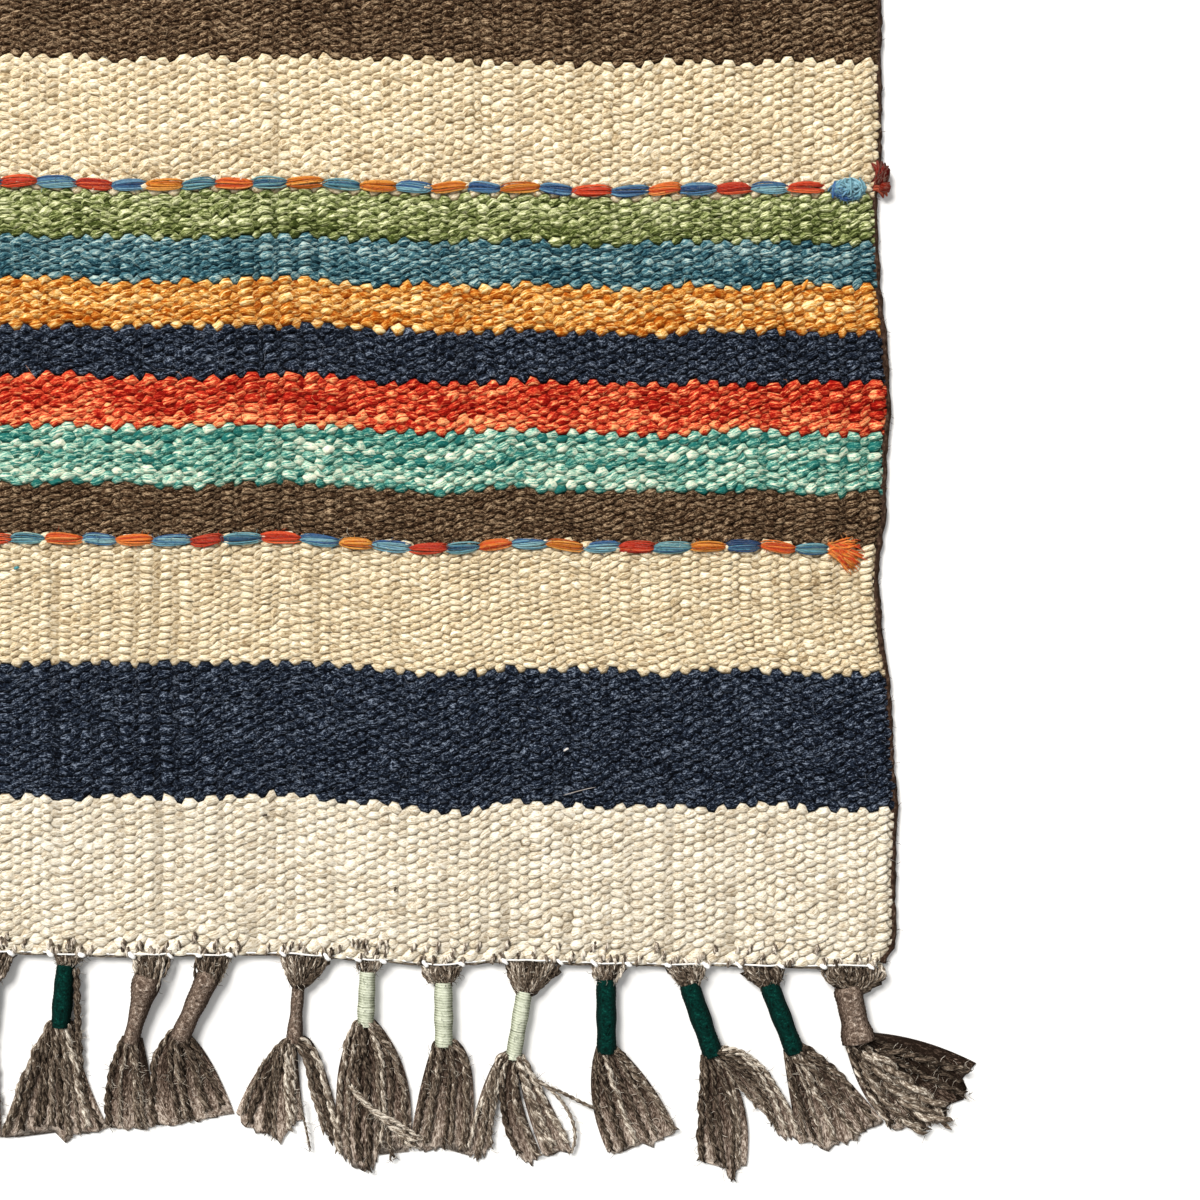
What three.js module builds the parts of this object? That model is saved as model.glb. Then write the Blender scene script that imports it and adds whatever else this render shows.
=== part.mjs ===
import * as THREE from 'three';

// A flat-woven striped rug lying flat, with a row of wound tassels along each end.
// Millimetres. X runs across the rug, Y along it, Z up. The origin is the middle of its underside.
// The front end is at -Y. Distances called "at" run along an end from its right-hand corner.

// Driving dimensions
const RUG_WIDTH = 600;
const RUG_LENGTH = 900;
const RUG_THICKNESS = 3.5;
const EDGE_ROUNDING = 1;
const TASSELS_PER_END = 23;
const TASSEL_PITCH = 26.1;
const TASSEL_GAP = 0.3;

// How finely the outline follows its waves
const SIDE_STEP = 7.5;
const END_STEP = 12.5;
const CORNER_STEPS = 5;

// Colours of the solids
const CREAM = 0xd8c6a2;
const YARN_COLOURS = { own: 0x7d7065, dark: 0x0f4a3a, pale: 0xc3cfa6 };

// How far each side stands out from its straight line, by the distance from the nearer end.
// The wide bands bulge, and the rows of laid-in yarn draw the weave in.
const SIDE_WAVE = [
  { at: 0, out: -1.7 },
  { at: 8, out: 2.3 },
  { at: 35, out: 2.0 },
  { at: 55, out: 2.7 },
  { at: 70, out: 1.6 },
  { at: 95, out: 0.6 },
  { at: 102, out: -1.7 },
  { at: 115, out: -3.0 },
  { at: 132, out: -3.7 },
  { at: 141, out: -2.4 },
  { at: 150, out: -1.0 },
  { at: 170, out: -0.8 },
  { at: 188, out: 0.8 },
  { at: 206, out: -0.8 },
  { at: 225, out: -3.0 },
  { at: 255, out: -4.0 },
  { at: 268, out: -2.7 },
  { at: 350, out: -2.8 },
  { at: 400, out: -1.6 },
  { at: 450, out: -2.6 },
];

// How far each end stands in from its straight line
const END_WAVE = [
  { at: 0, out: 0.6 },
  { at: 12, out: 0.4 },
  { at: 66, out: 0 },
  { at: 95, out: -0.5 },
  { at: 123, out: -1.5 },
  { at: 149, out: -0.2 },
  { at: 175, out: -1.7 },
  { at: 200, out: -3.8 },
  { at: 250, out: -3.2 },
  { at: 300, out: -4.2 },
  { at: 360, out: -2.6 },
  { at: 430, out: -1.0 },
  { at: 500, out: -2.2 },
  { at: 560, out: -0.4 },
  { at: 600, out: -0.8 },
];

// The tassels nearest the front right corner, where each has its own lean and spread.
// "at" is the middle of the knot, and knot, neck and spread are widths, the last one at the hem.
// The neck's top, its end and the middle of the hem are places: how far they lie to the right of
// the knot's middle, and how far beyond the rug's straight end line.
const SEEN_TASSELS = [
  { at: 11.8, knot: 20.5, neck: 9.2, top: [-2.3, 8.0], end: [1.3, 25.0], hem: [32.0, 46.0], spread: 31 },
  { at: 43.0, knot: 15.3, neck: 7.3, top: [2.8, 7.0], end: [11.2, 28.7], hem: [27.5, 58.5], spread: 21 },
  { at: 68.2, knot: 14.3, neck: 7.6, top: [1.3, 7.0], end: [9.2, 29.7], hem: [21.5, 65.0], spread: 33 },
  { at: 93.0, knot: 12.0, neck: 7.3, top: [-1.7, 5.5], end: [-1.5, 28.7], hem: [10.0, 62.5], spread: 24 },
  { at: 119.3, knot: 18.3, neck: 5.8, top: [-2.7, 9.5], end: [-6.3, 30.7], hem: [2.6, 66.0], spread: 27 },
  { at: 149.0, knot: 14.0, neck: 6.6, top: [0.0, 6.5], end: [0.2, 26.3], hem: [2.6, 66.0], spread: 25 },
  { at: 173.0, knot: 9.0, neck: 6.0, top: [-1.3, 2.9], end: [-2.0, 19.7], hem: [1.2, 68.0], spread: 23 },
  { at: 195.0, knot: 17.0, neck: 4.5, top: [-2.5, 7.0], end: [-3.9, 25.3], hem: [-6.7, 61.0], spread: 31 },
  { at: 225.3, knot: 12.0, neck: 7.0, top: [-1.7, 3.0], end: [-11.5, 24.0], hem: [-10.4, 55.0], spread: 25.5 },
  { at: 246.4, knot: 13.0, neck: 6.4, top: [-1.2, 4.2], end: [-6.8, 25.3], hem: [-9.7, 56.5], spread: 11 },
  { at: 274.0, knot: 11.0, neck: 7.0, top: [-1.0, 0.5], end: [-2.7, 20.0], hem: [-5.0, 60.5], spread: 32 },
  { at: 299.0, knot: 15.0, neck: 7.0, top: [-1.5, 5.5], end: [-4.0, 25.0], hem: [-6.0, 60.0], spread: 15 },
];

// All other tassels are plain ones: usual sizes, each with how much it varies either way
const PLAIN_NECK_END = { usual: 24, varies: 2 };
const PLAIN_HEM = { usual: 61, varies: 3.5 };
const PLAIN_SPREAD = { usual: 19.4, varies: 1 };
const PLAIN_LEAN = { usual: 0, varies: 1.9 };
const PLAIN_SHIFT = { usual: 0, varies: 0.6 };
const PLAIN_KNOT_MOST = 17;
const PLAIN_KNOT_DEPTH_LEAST = 4;

// How much further the plain tassels at a corner lean outward
const CORNER_SPREAD = 3.5;

// The thread wound round the necks changes in groups: three dark, three pale, three in their own yarn
const THREAD_GROUPS = ['dark', 'pale', 'own'];
const TASSELS_IN_GROUP = 3;

// Heights of a tassel along its length
const KNOT_HEIGHT = 6.4;
const SKIRT_HEIGHT = 5.2;
const HEM_HEIGHT = 2.6;

// The knot's width at the weave, and where it is widest, as shares of its width and depth
const KNOT_TOP_WIDTH = 0.86;
const KNOT_BELLY_PLACE = 0.45;

// The skirt opens quickly below the neck, by shares of its length and of its hem's width
const SKIRT_SECTIONS = [
  { along: 0.28, width: 0.52, height: 1.0 },
  { along: 0.64, width: 0.84, height: 0.85 },
];

// How far the skirt keeps the neck's direction, as a share of its length
const SKIRT_BEND = 0.2;

// Sides of a tassel's section
const RING_POINTS = 10;

function smoothStep(share) {
  return share * share * (3 - 2 * share);
}

// Reads a wave table at any place, easing from one row to the next
function waveAt(rows, at) {
  const next = rows.findIndex((row) => row.at > at);
  if (next < 1) {
    return next === 0 ? rows[0].out : rows[rows.length - 1].out;
  }
  const before = rows[next - 1];
  const after = rows[next];
  const share = (at - before.at) / (after.at - before.at);
  return before.out + (after.out - before.out) * smoothStep(share);
}

// The front end's line, as it runs through the outline's own corners
function frontEndY(at) {
  const low = Math.floor(at / END_STEP) * END_STEP;
  const share = (at - low) / END_STEP;
  const waveLow = waveAt(END_WAVE, low);
  const waveHigh = waveAt(END_WAVE, Math.min(low + END_STEP, RUG_WIDTH));
  return -RUG_LENGTH / 2 - (waveLow + (waveHigh - waveLow) * share);
}

// The right side's points: short steps at its two corners, and long ones between
function sideDistances() {
  const middle = Math.round(RUG_LENGTH / SIDE_STEP) - 1;
  const long = Array.from({ length: middle }, (_, k) => (k + 1) * SIDE_STEP);
  const short = Array.from({ length: CORNER_STEPS - 1 }, (_, k) => ((k + 1) * SIDE_STEP) / CORNER_STEPS);
  return [...short, ...long, ...short.map((distance) => RUG_LENGTH - distance).reverse()];
}

// Half of the outline: the front end from left to right, then the right side up to the back.
// The other half is this one turned by half a circle.
function halfOutline() {
  const points = [];
  for (let at = RUG_WIDTH - END_STEP; at > 0; at -= END_STEP) {
    points.push(new THREE.Vector2(RUG_WIDTH / 2 - at, frontEndY(at)));
  }
  points.push(new THREE.Vector2(RUG_WIDTH / 2 + SIDE_WAVE[0].out, frontEndY(0)));
  for (const along of sideDistances()) {
    const fromEnd = Math.min(along, RUG_LENGTH - along);
    const x = RUG_WIDTH / 2 + waveAt(SIDE_WAVE, fromEnd);
    points.push(new THREE.Vector2(x, along - RUG_LENGTH / 2));
  }
  return points;
}

function wovenBody() {
  const half = halfOutline();
  const turned = half.map((point) => new THREE.Vector2(-point.x, -point.y));
  const outline = new THREE.Shape([...half, ...turned]);
  const geometry = new THREE.ExtrudeGeometry(outline, {
    depth: RUG_THICKNESS - 2 * EDGE_ROUNDING,
    bevelEnabled: true,
    bevelSegments: 1,
    bevelThickness: EDGE_ROUNDING,
    bevelSize: EDGE_ROUNDING,
    bevelOffset: -EDGE_ROUNDING,
    steps: 1,
  });
  geometry.translate(0, 0, EDGE_ROUNDING);
  const material = new THREE.MeshStandardMaterial({ color: CREAM, roughness: 0.95, metalness: 0 });
  const mesh = new THREE.Mesh(geometry, material);
  mesh.name = 'woven_body';
  return mesh;
}

// One closed ring of a tassel: a flattened round with a flat underside at Z = 0
function ringPoints({ middle, along, width, height }) {
  const across = new THREE.Vector2(-along.y, along.x);
  const flat = Math.cos(Math.PI / RING_POINTS);
  const points = [];
  for (let k = 0; k < RING_POINTS; k += 1) {
    const angle = (2 * Math.PI * (k + 0.5)) / RING_POINTS;
    const over = (Math.sin(angle) * width) / 2;
    const up = (height / 2) * (1 - Math.cos(angle) / flat);
    points.push(middle.x + across.x * over, middle.y + across.y * over, up);
  }
  return points;
}

// A closed solid through a row of rings
function loftRings(sections) {
  const positions = sections.flatMap(ringPoints);
  const index = [];
  for (let s = 0; s < sections.length - 1; s += 1) {
    for (let k = 0; k < RING_POINTS; k += 1) {
      const a = s * RING_POINTS + k;
      const b = s * RING_POINTS + ((k + 1) % RING_POINTS);
      index.push(a, b, b + RING_POINTS);
      index.push(a, b + RING_POINTS, a + RING_POINTS);
    }
  }
  const last = (sections.length - 1) * RING_POINTS;
  for (let k = 1; k < RING_POINTS - 1; k += 1) {
    index.push(0, k + 1, k);
    index.push(last, last + k, last + k + 1);
  }
  const geometry = new THREE.BufferGeometry();
  geometry.setAttribute('position', new THREE.Float32BufferAttribute(positions, 3));
  geometry.setIndex(index);
  geometry.computeVertexNormals();
  return geometry;
}

// The rings of one tassel, in the frame of the front end
function tasselSections(row) {
  const knotX = RUG_WIDTH / 2 - row.at;
  const place = ([over, down]) => new THREE.Vector2(knotX + over, -RUG_LENGTH / 2 - down);
  const away = new THREE.Vector2(0, -1);
  const neckTop = place(row.top);
  const neckEnd = place(row.end);
  const hemMiddle = place(row.hem);
  const neckWay = neckEnd.clone().sub(neckTop).normalize();

  // The knot's upper face follows the woven end's slope, the gap away from it
  const startWidth = KNOT_TOP_WIDTH * row.knot;
  const leftY = frontEndY(row.at + startWidth / 2);
  const rightY = frontEndY(row.at - startWidth / 2);
  const startY = Math.min(frontEndY(row.at), (leftY + rightY) / 2) - TASSEL_GAP;
  const start = new THREE.Vector2(knotX, startY);
  const startWay = new THREE.Vector2(rightY - leftY, -startWidth).normalize();
  const belly = start.clone().lerp(neckTop, KNOT_BELLY_PLACE);

  // The skirt leaves the neck in the neck's direction and bends to its hem
  const skirtLength = neckEnd.distanceTo(hemMiddle);
  const control = neckEnd.clone().addScaledVector(neckWay, SKIRT_BEND * skirtLength);
  const bend = new THREE.QuadraticBezierCurve(neckEnd, control, hemMiddle);
  const skirt = SKIRT_SECTIONS.map(({ along, width, height }) => ({
    middle: bend.getPoint(along),
    along: bend.getTangent(along),
    width: row.neck + (row.spread - row.neck) * width,
    height: SKIRT_HEIGHT * height,
  }));

  // The knot is widest a little below the weave and draws in to the neck
  return [
    { middle: start, along: startWay, width: startWidth, height: RUG_THICKNESS },
    { middle: belly, along: away, width: row.knot, height: KNOT_HEIGHT },
    { middle: neckTop, along: neckWay, width: row.neck, height: Math.min(row.neck, KNOT_HEIGHT) },
    { middle: neckEnd, along: neckWay, width: row.neck, height: Math.min(row.neck, KNOT_HEIGHT) },
    ...skirt,
    { middle: hemMiddle, along: bend.getTangent(1), width: row.spread, height: HEM_HEIGHT },
  ];
}

// The corner tassels keep their own yarn, and the groups of three run between them
function threadOf(number) {
  if (number === 1 || number === TASSELS_PER_END) {
    return 'own';
  }
  const group = Math.floor((number - 2) / TASSELS_IN_GROUP);
  return THREAD_GROUPS[group % THREAD_GROUPS.length];
}

function vary({ usual, varies }, phase) {
  return usual + varies * Math.sin(phase);
}

// A plain tassel hangs nearly straight, with a knot and neck like one of the seen ones.
// The last one at each corner spreads a little outward.
function plainTassel(number, turn) {
  const like = SEEN_TASSELS[(number * 5 + turn) % SEEN_TASSELS.length];
  const outward = { 1: CORNER_SPREAD, [TASSELS_PER_END]: -CORNER_SPREAD }[number] ?? 0;
  const lean = outward + vary(PLAIN_LEAN, 2.4 * number + turn);
  const evenPlace = SEEN_TASSELS[0].at + (number - 1) * TASSEL_PITCH;
  return {
    ...like,
    at: evenPlace + vary(PLAIN_SHIFT, 1.7 * number + turn),
    knot: Math.min(like.knot, PLAIN_KNOT_MOST),
    top: [0.2 * lean, Math.max(like.top[1], PLAIN_KNOT_DEPTH_LEAST)],
    end: [0.5 * lean, vary(PLAIN_NECK_END, 3.1 * number + turn)],
    hem: [lean, vary(PLAIN_HEM, 1.3 * number + 2 * turn)],
    spread: vary(PLAIN_SPREAD, 2.1 * number + turn),
  };
}

function tasselEnd(prefix, rowOf) {
  const end = new THREE.Group();
  for (let number = 1; number <= TASSELS_PER_END; number += 1) {
    const material = new THREE.MeshStandardMaterial({
      color: YARN_COLOURS[threadOf(number)],
      roughness: 0.9,
      metalness: 0,
    });
    const mesh = new THREE.Mesh(loftRings(tasselSections(rowOf(number))), material);
    mesh.name = `${prefix}_tassel_${String(number).padStart(2, '0')}`;
    end.add(mesh);
  }
  return end;
}

const frontEnd = tasselEnd('front', (number) => SEEN_TASSELS[number - 1] ?? plainTassel(number, 0));
const backEnd = tasselEnd('back', (number) => plainTassel(number, 1));
backEnd.rotation.z = Math.PI;

const rug = new THREE.Group();
rug.add(wovenBody(), frontEnd, backEnd);

export default rug;
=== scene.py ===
import math

import bpy
import numpy as np
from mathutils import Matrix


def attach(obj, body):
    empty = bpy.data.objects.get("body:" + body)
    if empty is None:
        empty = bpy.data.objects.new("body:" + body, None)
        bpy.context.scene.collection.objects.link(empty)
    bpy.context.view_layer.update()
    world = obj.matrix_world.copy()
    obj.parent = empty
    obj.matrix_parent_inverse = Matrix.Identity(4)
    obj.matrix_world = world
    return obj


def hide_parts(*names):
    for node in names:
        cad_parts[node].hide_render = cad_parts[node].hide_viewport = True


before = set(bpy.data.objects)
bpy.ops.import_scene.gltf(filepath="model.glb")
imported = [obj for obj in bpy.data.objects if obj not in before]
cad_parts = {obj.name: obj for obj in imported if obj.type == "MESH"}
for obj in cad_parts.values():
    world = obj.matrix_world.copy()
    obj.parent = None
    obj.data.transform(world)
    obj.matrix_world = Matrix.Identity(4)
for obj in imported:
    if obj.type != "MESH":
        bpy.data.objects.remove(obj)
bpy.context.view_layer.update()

# Lengths are millimetres, which mesh_piece turns into metres. X runs across the rug, Y along it
# and Z up, with the origin in the middle of its underside.
MILLIMETRE = 0.001
HALF_WIDTH = 300
LENGTH = 900

# The weave: warps a column apart, and bumps of weft staggered between neighbouring columns
COLUMNS = 178
COLUMN = 3.4             # the width of a column on the underside
EDGE_TUCK = 1.4          # how far the weft is followed below the outermost line of a side
EDGE_RADIUS = 1.45
EDGE_INSET = 1.75
BUMP_HEIGHT = 1.45
RING_SHARE = 0.76        # where a fine bump's ring of points runs, from its crest to the valleys
RING_HEIGHT = 0.68
VALLEY_OPEN = 0.72       # how much light the valleys keep in the painted shading of the yarn
# How far a bump's points reach into the next columns, by colour
POINTS = {
    "bone": 0.64, "cream": 0.64, "navy": 0.68, "brown": 0.64, "aqua": 0.80, "red": 0.76,
    "ochre": 0.73, "teal": 0.72, "green": 0.72,
}
LAST_REACH = 1.15        # the same in the last row of either end
LONG_POINTS = 0.30       # how much longer the points are away from the right side
JOSTLE_ALONG, JOSTLE_OVER = 0.20, 0.10
FINE_LEFT = -2           # finer bumps to the right of this and in front of FINE_FAR
FINE_FAR = 328

# The bands of the first part of the length: colour, depth, and height of a bump
END_BANDS = [
    ("bone", 4.8, 4.8), ("bone", 48.5, 3.3), ("navy", 45.0, 3.45), ("cream", 42.7, 2.55),
    ("brown", 17.3, 2.65), ("aqua", 20.0, 3.4), ("red", 16.7, 3.4), ("navy", 16.7, 3.1),
    ("ochre", 15.6, 3.15), ("teal", 14.4, 2.95), ("green", 15.6, 3.4),
    ("cream", 45.0, 3.3), ("brown", 45.0, 2.65), ("cream", 42.0, 3.3),
]
MIDDLE_BANDS = [
    ("green", 16.5, 3.4), ("teal", 15.0, 2.95), ("ochre", 16.0, 3.15), ("navy", 26.4, 3.1),
    ("ochre", 16.0, 3.15), ("teal", 15.0, 2.95), ("green", 16.5, 3.4),
]
DASH_ROWS = [139.3, 258.8, 389.3, 510.7, 641.2, 760.7]

# Colours of the yarns from dark to light, sRGB 0 to 255
TONES = {
    "bone": [(170, 152, 126), (218, 206, 182), (244, 236, 218), (255, 253, 243)],
    "cream": [(152, 128, 94), (210, 190, 153), (239, 223, 191), (255, 250, 230)],
    "navy": [(3, 5, 12), (18, 25, 38), (40, 50, 66), (124, 134, 150)],
    "brown": [(28, 16, 8), (62, 43, 28), (98, 75, 54), (176, 152, 122)],
    "aqua": [(26, 100, 94), (88, 154, 138), (168, 203, 180), (232, 232, 208)],
    "red": [(132, 8, 4), (192, 46, 29), (232, 108, 68), (252, 186, 124)],
    "ochre": [(158, 70, 4), (200, 126, 44), (232, 182, 98), (254, 230, 174)],
    "teal": [(8, 40, 52), (48, 90, 102), (94, 138, 146), (184, 202, 194)],
    "green": [(52, 62, 22), (116, 126, 70), (168, 174, 118), (232, 232, 188)],
    "yarn": [(26, 20, 15), (78, 66, 55), (134, 120, 105), (226, 217, 202)],
    "mat": [(30, 21, 15), (82, 67, 57), (132, 115, 102), (204, 190, 176)],
    "dark": [(0, 14, 11), (0, 34, 29), (1, 50, 43), (16, 82, 70)],
    "pale": [(76, 80, 62), (150, 155, 132), (200, 205, 182), (232, 236, 218)],
    # The selvedge cords' colour: painted shade along the rug's sides
    "shaded_selvedge": [(22, 13, 9), (46, 32, 24), (74, 56, 45), (132, 114, 100)],
    "white": [(170, 168, 164), (226, 224, 220), (244, 243, 240), (255, 255, 255)],
    "floor": [(246, 246, 245), (250, 250, 249)],
}

# Painted shade: what is left of a colour in the shaded gaps between bumps
SHADE = {
    "bone": (0.24, 0.20, 0.15, 1), "cream": (0.27, 0.21, 0.13, 1), "navy": (0.02, 0.02, 0.03, 1),
    "brown": (0.10, 0.07, 0.05, 1), "aqua": (0.10, 0.20, 0.17, 1), "red": (0.22, 0.03, 0.02, 1),
    "ochre": (0.32, 0.16, 0.05, 1), "teal": (0.06, 0.10, 0.12, 1), "green": (0.10, 0.12, 0.05, 1),
}

# How each colour is mixed: how far its tone changes between picks, along a pick,
# between bumps, between the streaks of one bump, and between fibres
MIXES = {
    "bone": (0.05, 0.24, 0.14, 0.50, 1.30),
    "cream": (0.05, 0.28, 0.16, 0.55, 1.35),
    "navy": (0.05, 0.20, 0.10, 0.50, 1.50),
    "brown": (0.05, 0.24, 0.10, 0.50, 1.50),
    "aqua": (0.42, 0.80, 0.08, 0.95, 1.35),
    "red": (0.34, 0.66, 0.07, 0.95, 1.30),
    "ochre": (0.24, 0.58, 0.06, 0.90, 1.30),
    "teal": (0.20, 0.52, 0.08, 0.85, 1.35),
    "green": (0.34, 0.58, 0.08, 0.95, 1.40),
}
TONE_MIDDLE = {
    "aqua": 0.41, "ochre": 0.46, "cream": 0.50, "bone": 0.46, "navy": 0.33, "brown": 0.42,
    "green": 0.44, "red": 0.50, "teal": 0.50,
}
PALE_FIBRES = {"navy": 0.40, "brown": 0.36}
# How far from a bump's middle its painted gap shade starts and ends, and narrower ones for the pale colours
GAP, NARROW_GAP = (0.72, 1.14), (0.80, 1.20)
PALE_COLOURS = ("cream", "bone")

# The seen tassels from right to left, as the CAD has them: widths, then places to the right of
# the knot's middle and beyond the end line
SEEN_TASSELS = [
    dict(at=11.8, knot=20.5, neck=9.2, top=(-2.3, 8.0), end=(1.3, 25.0), hem=(32.0, 46.0), spread=31,
         flare=(0.14, 0.36), bowl=1.0, dark_from=0.42, light=-0.06),
    dict(at=43.0, knot=15.3, neck=7.3, top=(2.8, 7.0), end=(11.2, 28.7), hem=(27.5, 58.5), spread=21,
         light=-0.09),
    dict(at=68.2, knot=14.3, neck=7.6, top=(1.3, 7.0), end=(9.2, 29.7), hem=(21.5, 65.0), spread=33),
    dict(at=93.0, knot=12.0, neck=7.3, top=(-1.7, 5.5), end=(-1.5, 28.7), hem=(10.0, 62.5), spread=24),
    dict(at=119.3, knot=18.3, neck=5.8, top=(-2.7, 9.5), end=(-6.3, 30.7), hem=(2.6, 66.0), spread=27,
         bowl=0.25),
    dict(at=149.0, knot=14.0, neck=6.6, top=(0.0, 6.5), end=(0.2, 26.3), hem=(2.6, 66.0), spread=25),
    dict(at=173.0, knot=9.0, neck=6.0, top=(-1.3, 2.9), end=(-2.0, 19.7), hem=(1.2, 68.0), spread=23),
    dict(at=195.0, knot=17.0, neck=4.5, top=(-2.5, 7.0), end=(-3.9, 25.3), hem=(-6.7, 61.0), spread=31,
         flare=(0.0, 0.35), bowl=0.15),
    dict(at=225.3, knot=12.0, neck=7.0, top=(-1.7, 3.0), end=(-11.5, 24.0), hem=(-10.4, 55.0), spread=25.5,
         flare=(0.24, 0.05), light=-0.12, merge=0.3),
    dict(at=246.4, knot=13.0, neck=6.4, top=(-1.2, 4.2), end=(-6.8, 25.3), hem=(-9.7, 56.5), spread=11,
         flare=(0.62, -0.12), merge=0.3),
    dict(at=274.0, knot=11.0, neck=7.0, top=(-1.0, 0.5), end=(-2.7, 20.0), hem=(-5.0, 60.5), spread=32),
    dict(at=299.0, knot=15.0, neck=7.0, top=(-1.5, 5.5), end=(-4.0, 25.0), hem=(-6.0, 60.0), spread=15),
]
# Where the skirts of seen tassels lie: millimetres to the right of the knot's middle and beyond
# the end line, halfway down the left and right sides, and along the hem from left to right
SKIRTS = {
    1: [((2.5, 42), (23.5, 26.5), [(11, 53), (14, 58), (17, 57), (19, 56), (24, 59), (28, 57), (32, 54),
         (33, 49), (38, 47), (39, 42), (37, 38), (42, 34)])],
    2: [((10, 45), (27, 37), [(13, 61), (17, 61), (21, 64), (24, 64), (28, 63), (34, 60), (37, 57),
         (42, 54)])],
    3: [((5, 47), (19.5, 46.5), [(5, 68), (9, 68), (12, 69), (14, 71), (15.5, 77), (17, 70),
         (20.5, 69)]),
        ((19, 40), (27.5, 37), [(24, 49), (27, 50), (30, 55), (32, 61), (37, 61), (41, 60)])],
    4: [((-6.5, 45), (13.5, 41), [(-1, 64), (2, 65), (5, 64), (8, 62.5), (10, 62), (13, 63), (15, 62.5),
         (18, 60), (22.5, 57)])],
    5: [((-16, 40), (-11, 43), [(-23, 66), (-21, 67), (-18, 68), (-15, 66), (-14, 61), (-13, 53)]),
        ((-10, 48), (-3.5, 47), [(-4, 66), (-2, 68), (0.5, 69), (3, 66.5), (3.5, 65)]),
        ((-2.5, 47), (5, 45.5), [(4, 66), (8, 65), (11, 63), (13.5, 65.5), (13, 62)])],
    6: [((-7.5, 40), (9.5, 38), [(-12, 63.5), (-6, 65), (-1, 64.5), (3, 63.5), (5.5, 65), (8.5, 66)])],
    7: [((-11.5, 37), (11.5, 39), [(-11, 64), (-8, 69), (-5, 70), (-1, 72.5), (1.5, 70), (2, 64),
         (6, 62.5), (9, 63), (12, 64)])],
    8: [((-16.5, 36), (-2.5, 40), [(-24, 51), (-22, 57), (-19, 58), (-14, 59), (-9.5, 62.5), (-6.5, 60),
         (-4, 54), (-1, 53)]),
        ((0.5, 38), (5.5, 34.5), [(5, 57), (9, 60), (12, 65.5), (14, 69)])],
    9: [((-22, 38), (-1, 35), [(-21, 56), (-17, 56), (-12, 54.5), (-5, 54), (1, 52), (6, 51)])],
    10: [((-15, 39), (-1, 40), [(-15, 56), (-10, 56.5), (-7.5, 57.5), (-3, 56.5), (1.5, 56)])],
    11: [((-14.5, 34), (4.5, 37), [(-24, 59), (-19, 60), (-17, 57.5), (-13, 58.5), (-9, 57), (-4, 56),
         (-2.5, 62), (-0.5, 60), (4, 59), (9.5, 58), (12.5, 56)])],
}
# Single strands outside the skirts, as (thickness, shade, points)
STRAYS = {
    1: [(4.2, 0.48, [(3, 28), (9, 36), (15, 46), (27, 53)]),
        (4.6, 0.44, [(6, 29), (12, 33), (19, 42), (31, 49)]),
        (3.0, 0.42, [(2, 32), (7, 44), (16, 52), (24, 57)]),
        (3.0, 0.18, [(9, 28), (18, 29), (28, 34), (39, 36)]),
        (3.6, 0.36, [(4, 30), (12, 42), (22, 48), (33, 54)]),
        (2.4, 0.16, [(8, 29), (17, 33), (27, 40), (38, 44)])],
    5: [(1.5, 0.5, [(1, 38), (6, 41), (13, 46), (17.5, 58), (12, 64)]),
        (1.4, 0.34, [(1, 38), (5, 42), (10, 41), (15, 47), (23, 49)])],
    7: [(2.2, 0.6, [(-7, 40), (-3, 47), (5, 53), (15, 60)]),
        (2.1, 0.54, [(-5, 42), (0, 49), (8, 55), (14, 62)]),
        (1.6, 0.66, [(0, 48), (6, 51), (12, 55), (17, 59)]),
        (1.8, 0.3, [(6, 57), (6.5, 62), (7, 66)])],
    8: [(1.0, 0.36, [(-2, 44), (-0.5, 52), (1.5, 63)])],
    11: [(2.6, 0.22, [(2.6, 1), (3, 10), (2.4, 22), (3.6, 36)])],
}
TASSELS = 23
TASSEL_PITCH = 26.1
TASSEL_GROUPS = ["dark", "pale", "own"]

random = np.random.default_rng(7)


# Small tools
def linear(colour):
    """sRGB 0 to 255 as linear red, green and blue"""
    part = np.array(colour) / 255
    part = np.where(part <= 0.04045, part / 12.92, ((part + 0.055) / 1.055) ** 2.4)
    return tuple(part.tolist())


def smooth(value):
    value = np.clip(value, 0, 1)
    return value * value * (3 - 2 * value)


def waves(count, longest, shortest):
    """A gentle random curve of one variable, between about -1 and 1"""
    lengths = np.geomspace(longest, shortest, count)
    phases = random.uniform(0, 2 * np.pi, count)
    sizes = np.sqrt(lengths / longest)

    def curve(at):
        at = np.asarray(at, float)
        total = sum(s * np.sin(2 * np.pi * at / l + p) for l, p, s in zip(lengths, phases, sizes))
        return total / sizes.sum()

    return curve


def flat32(values):
    return values.astype(np.float32).ravel()


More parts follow.
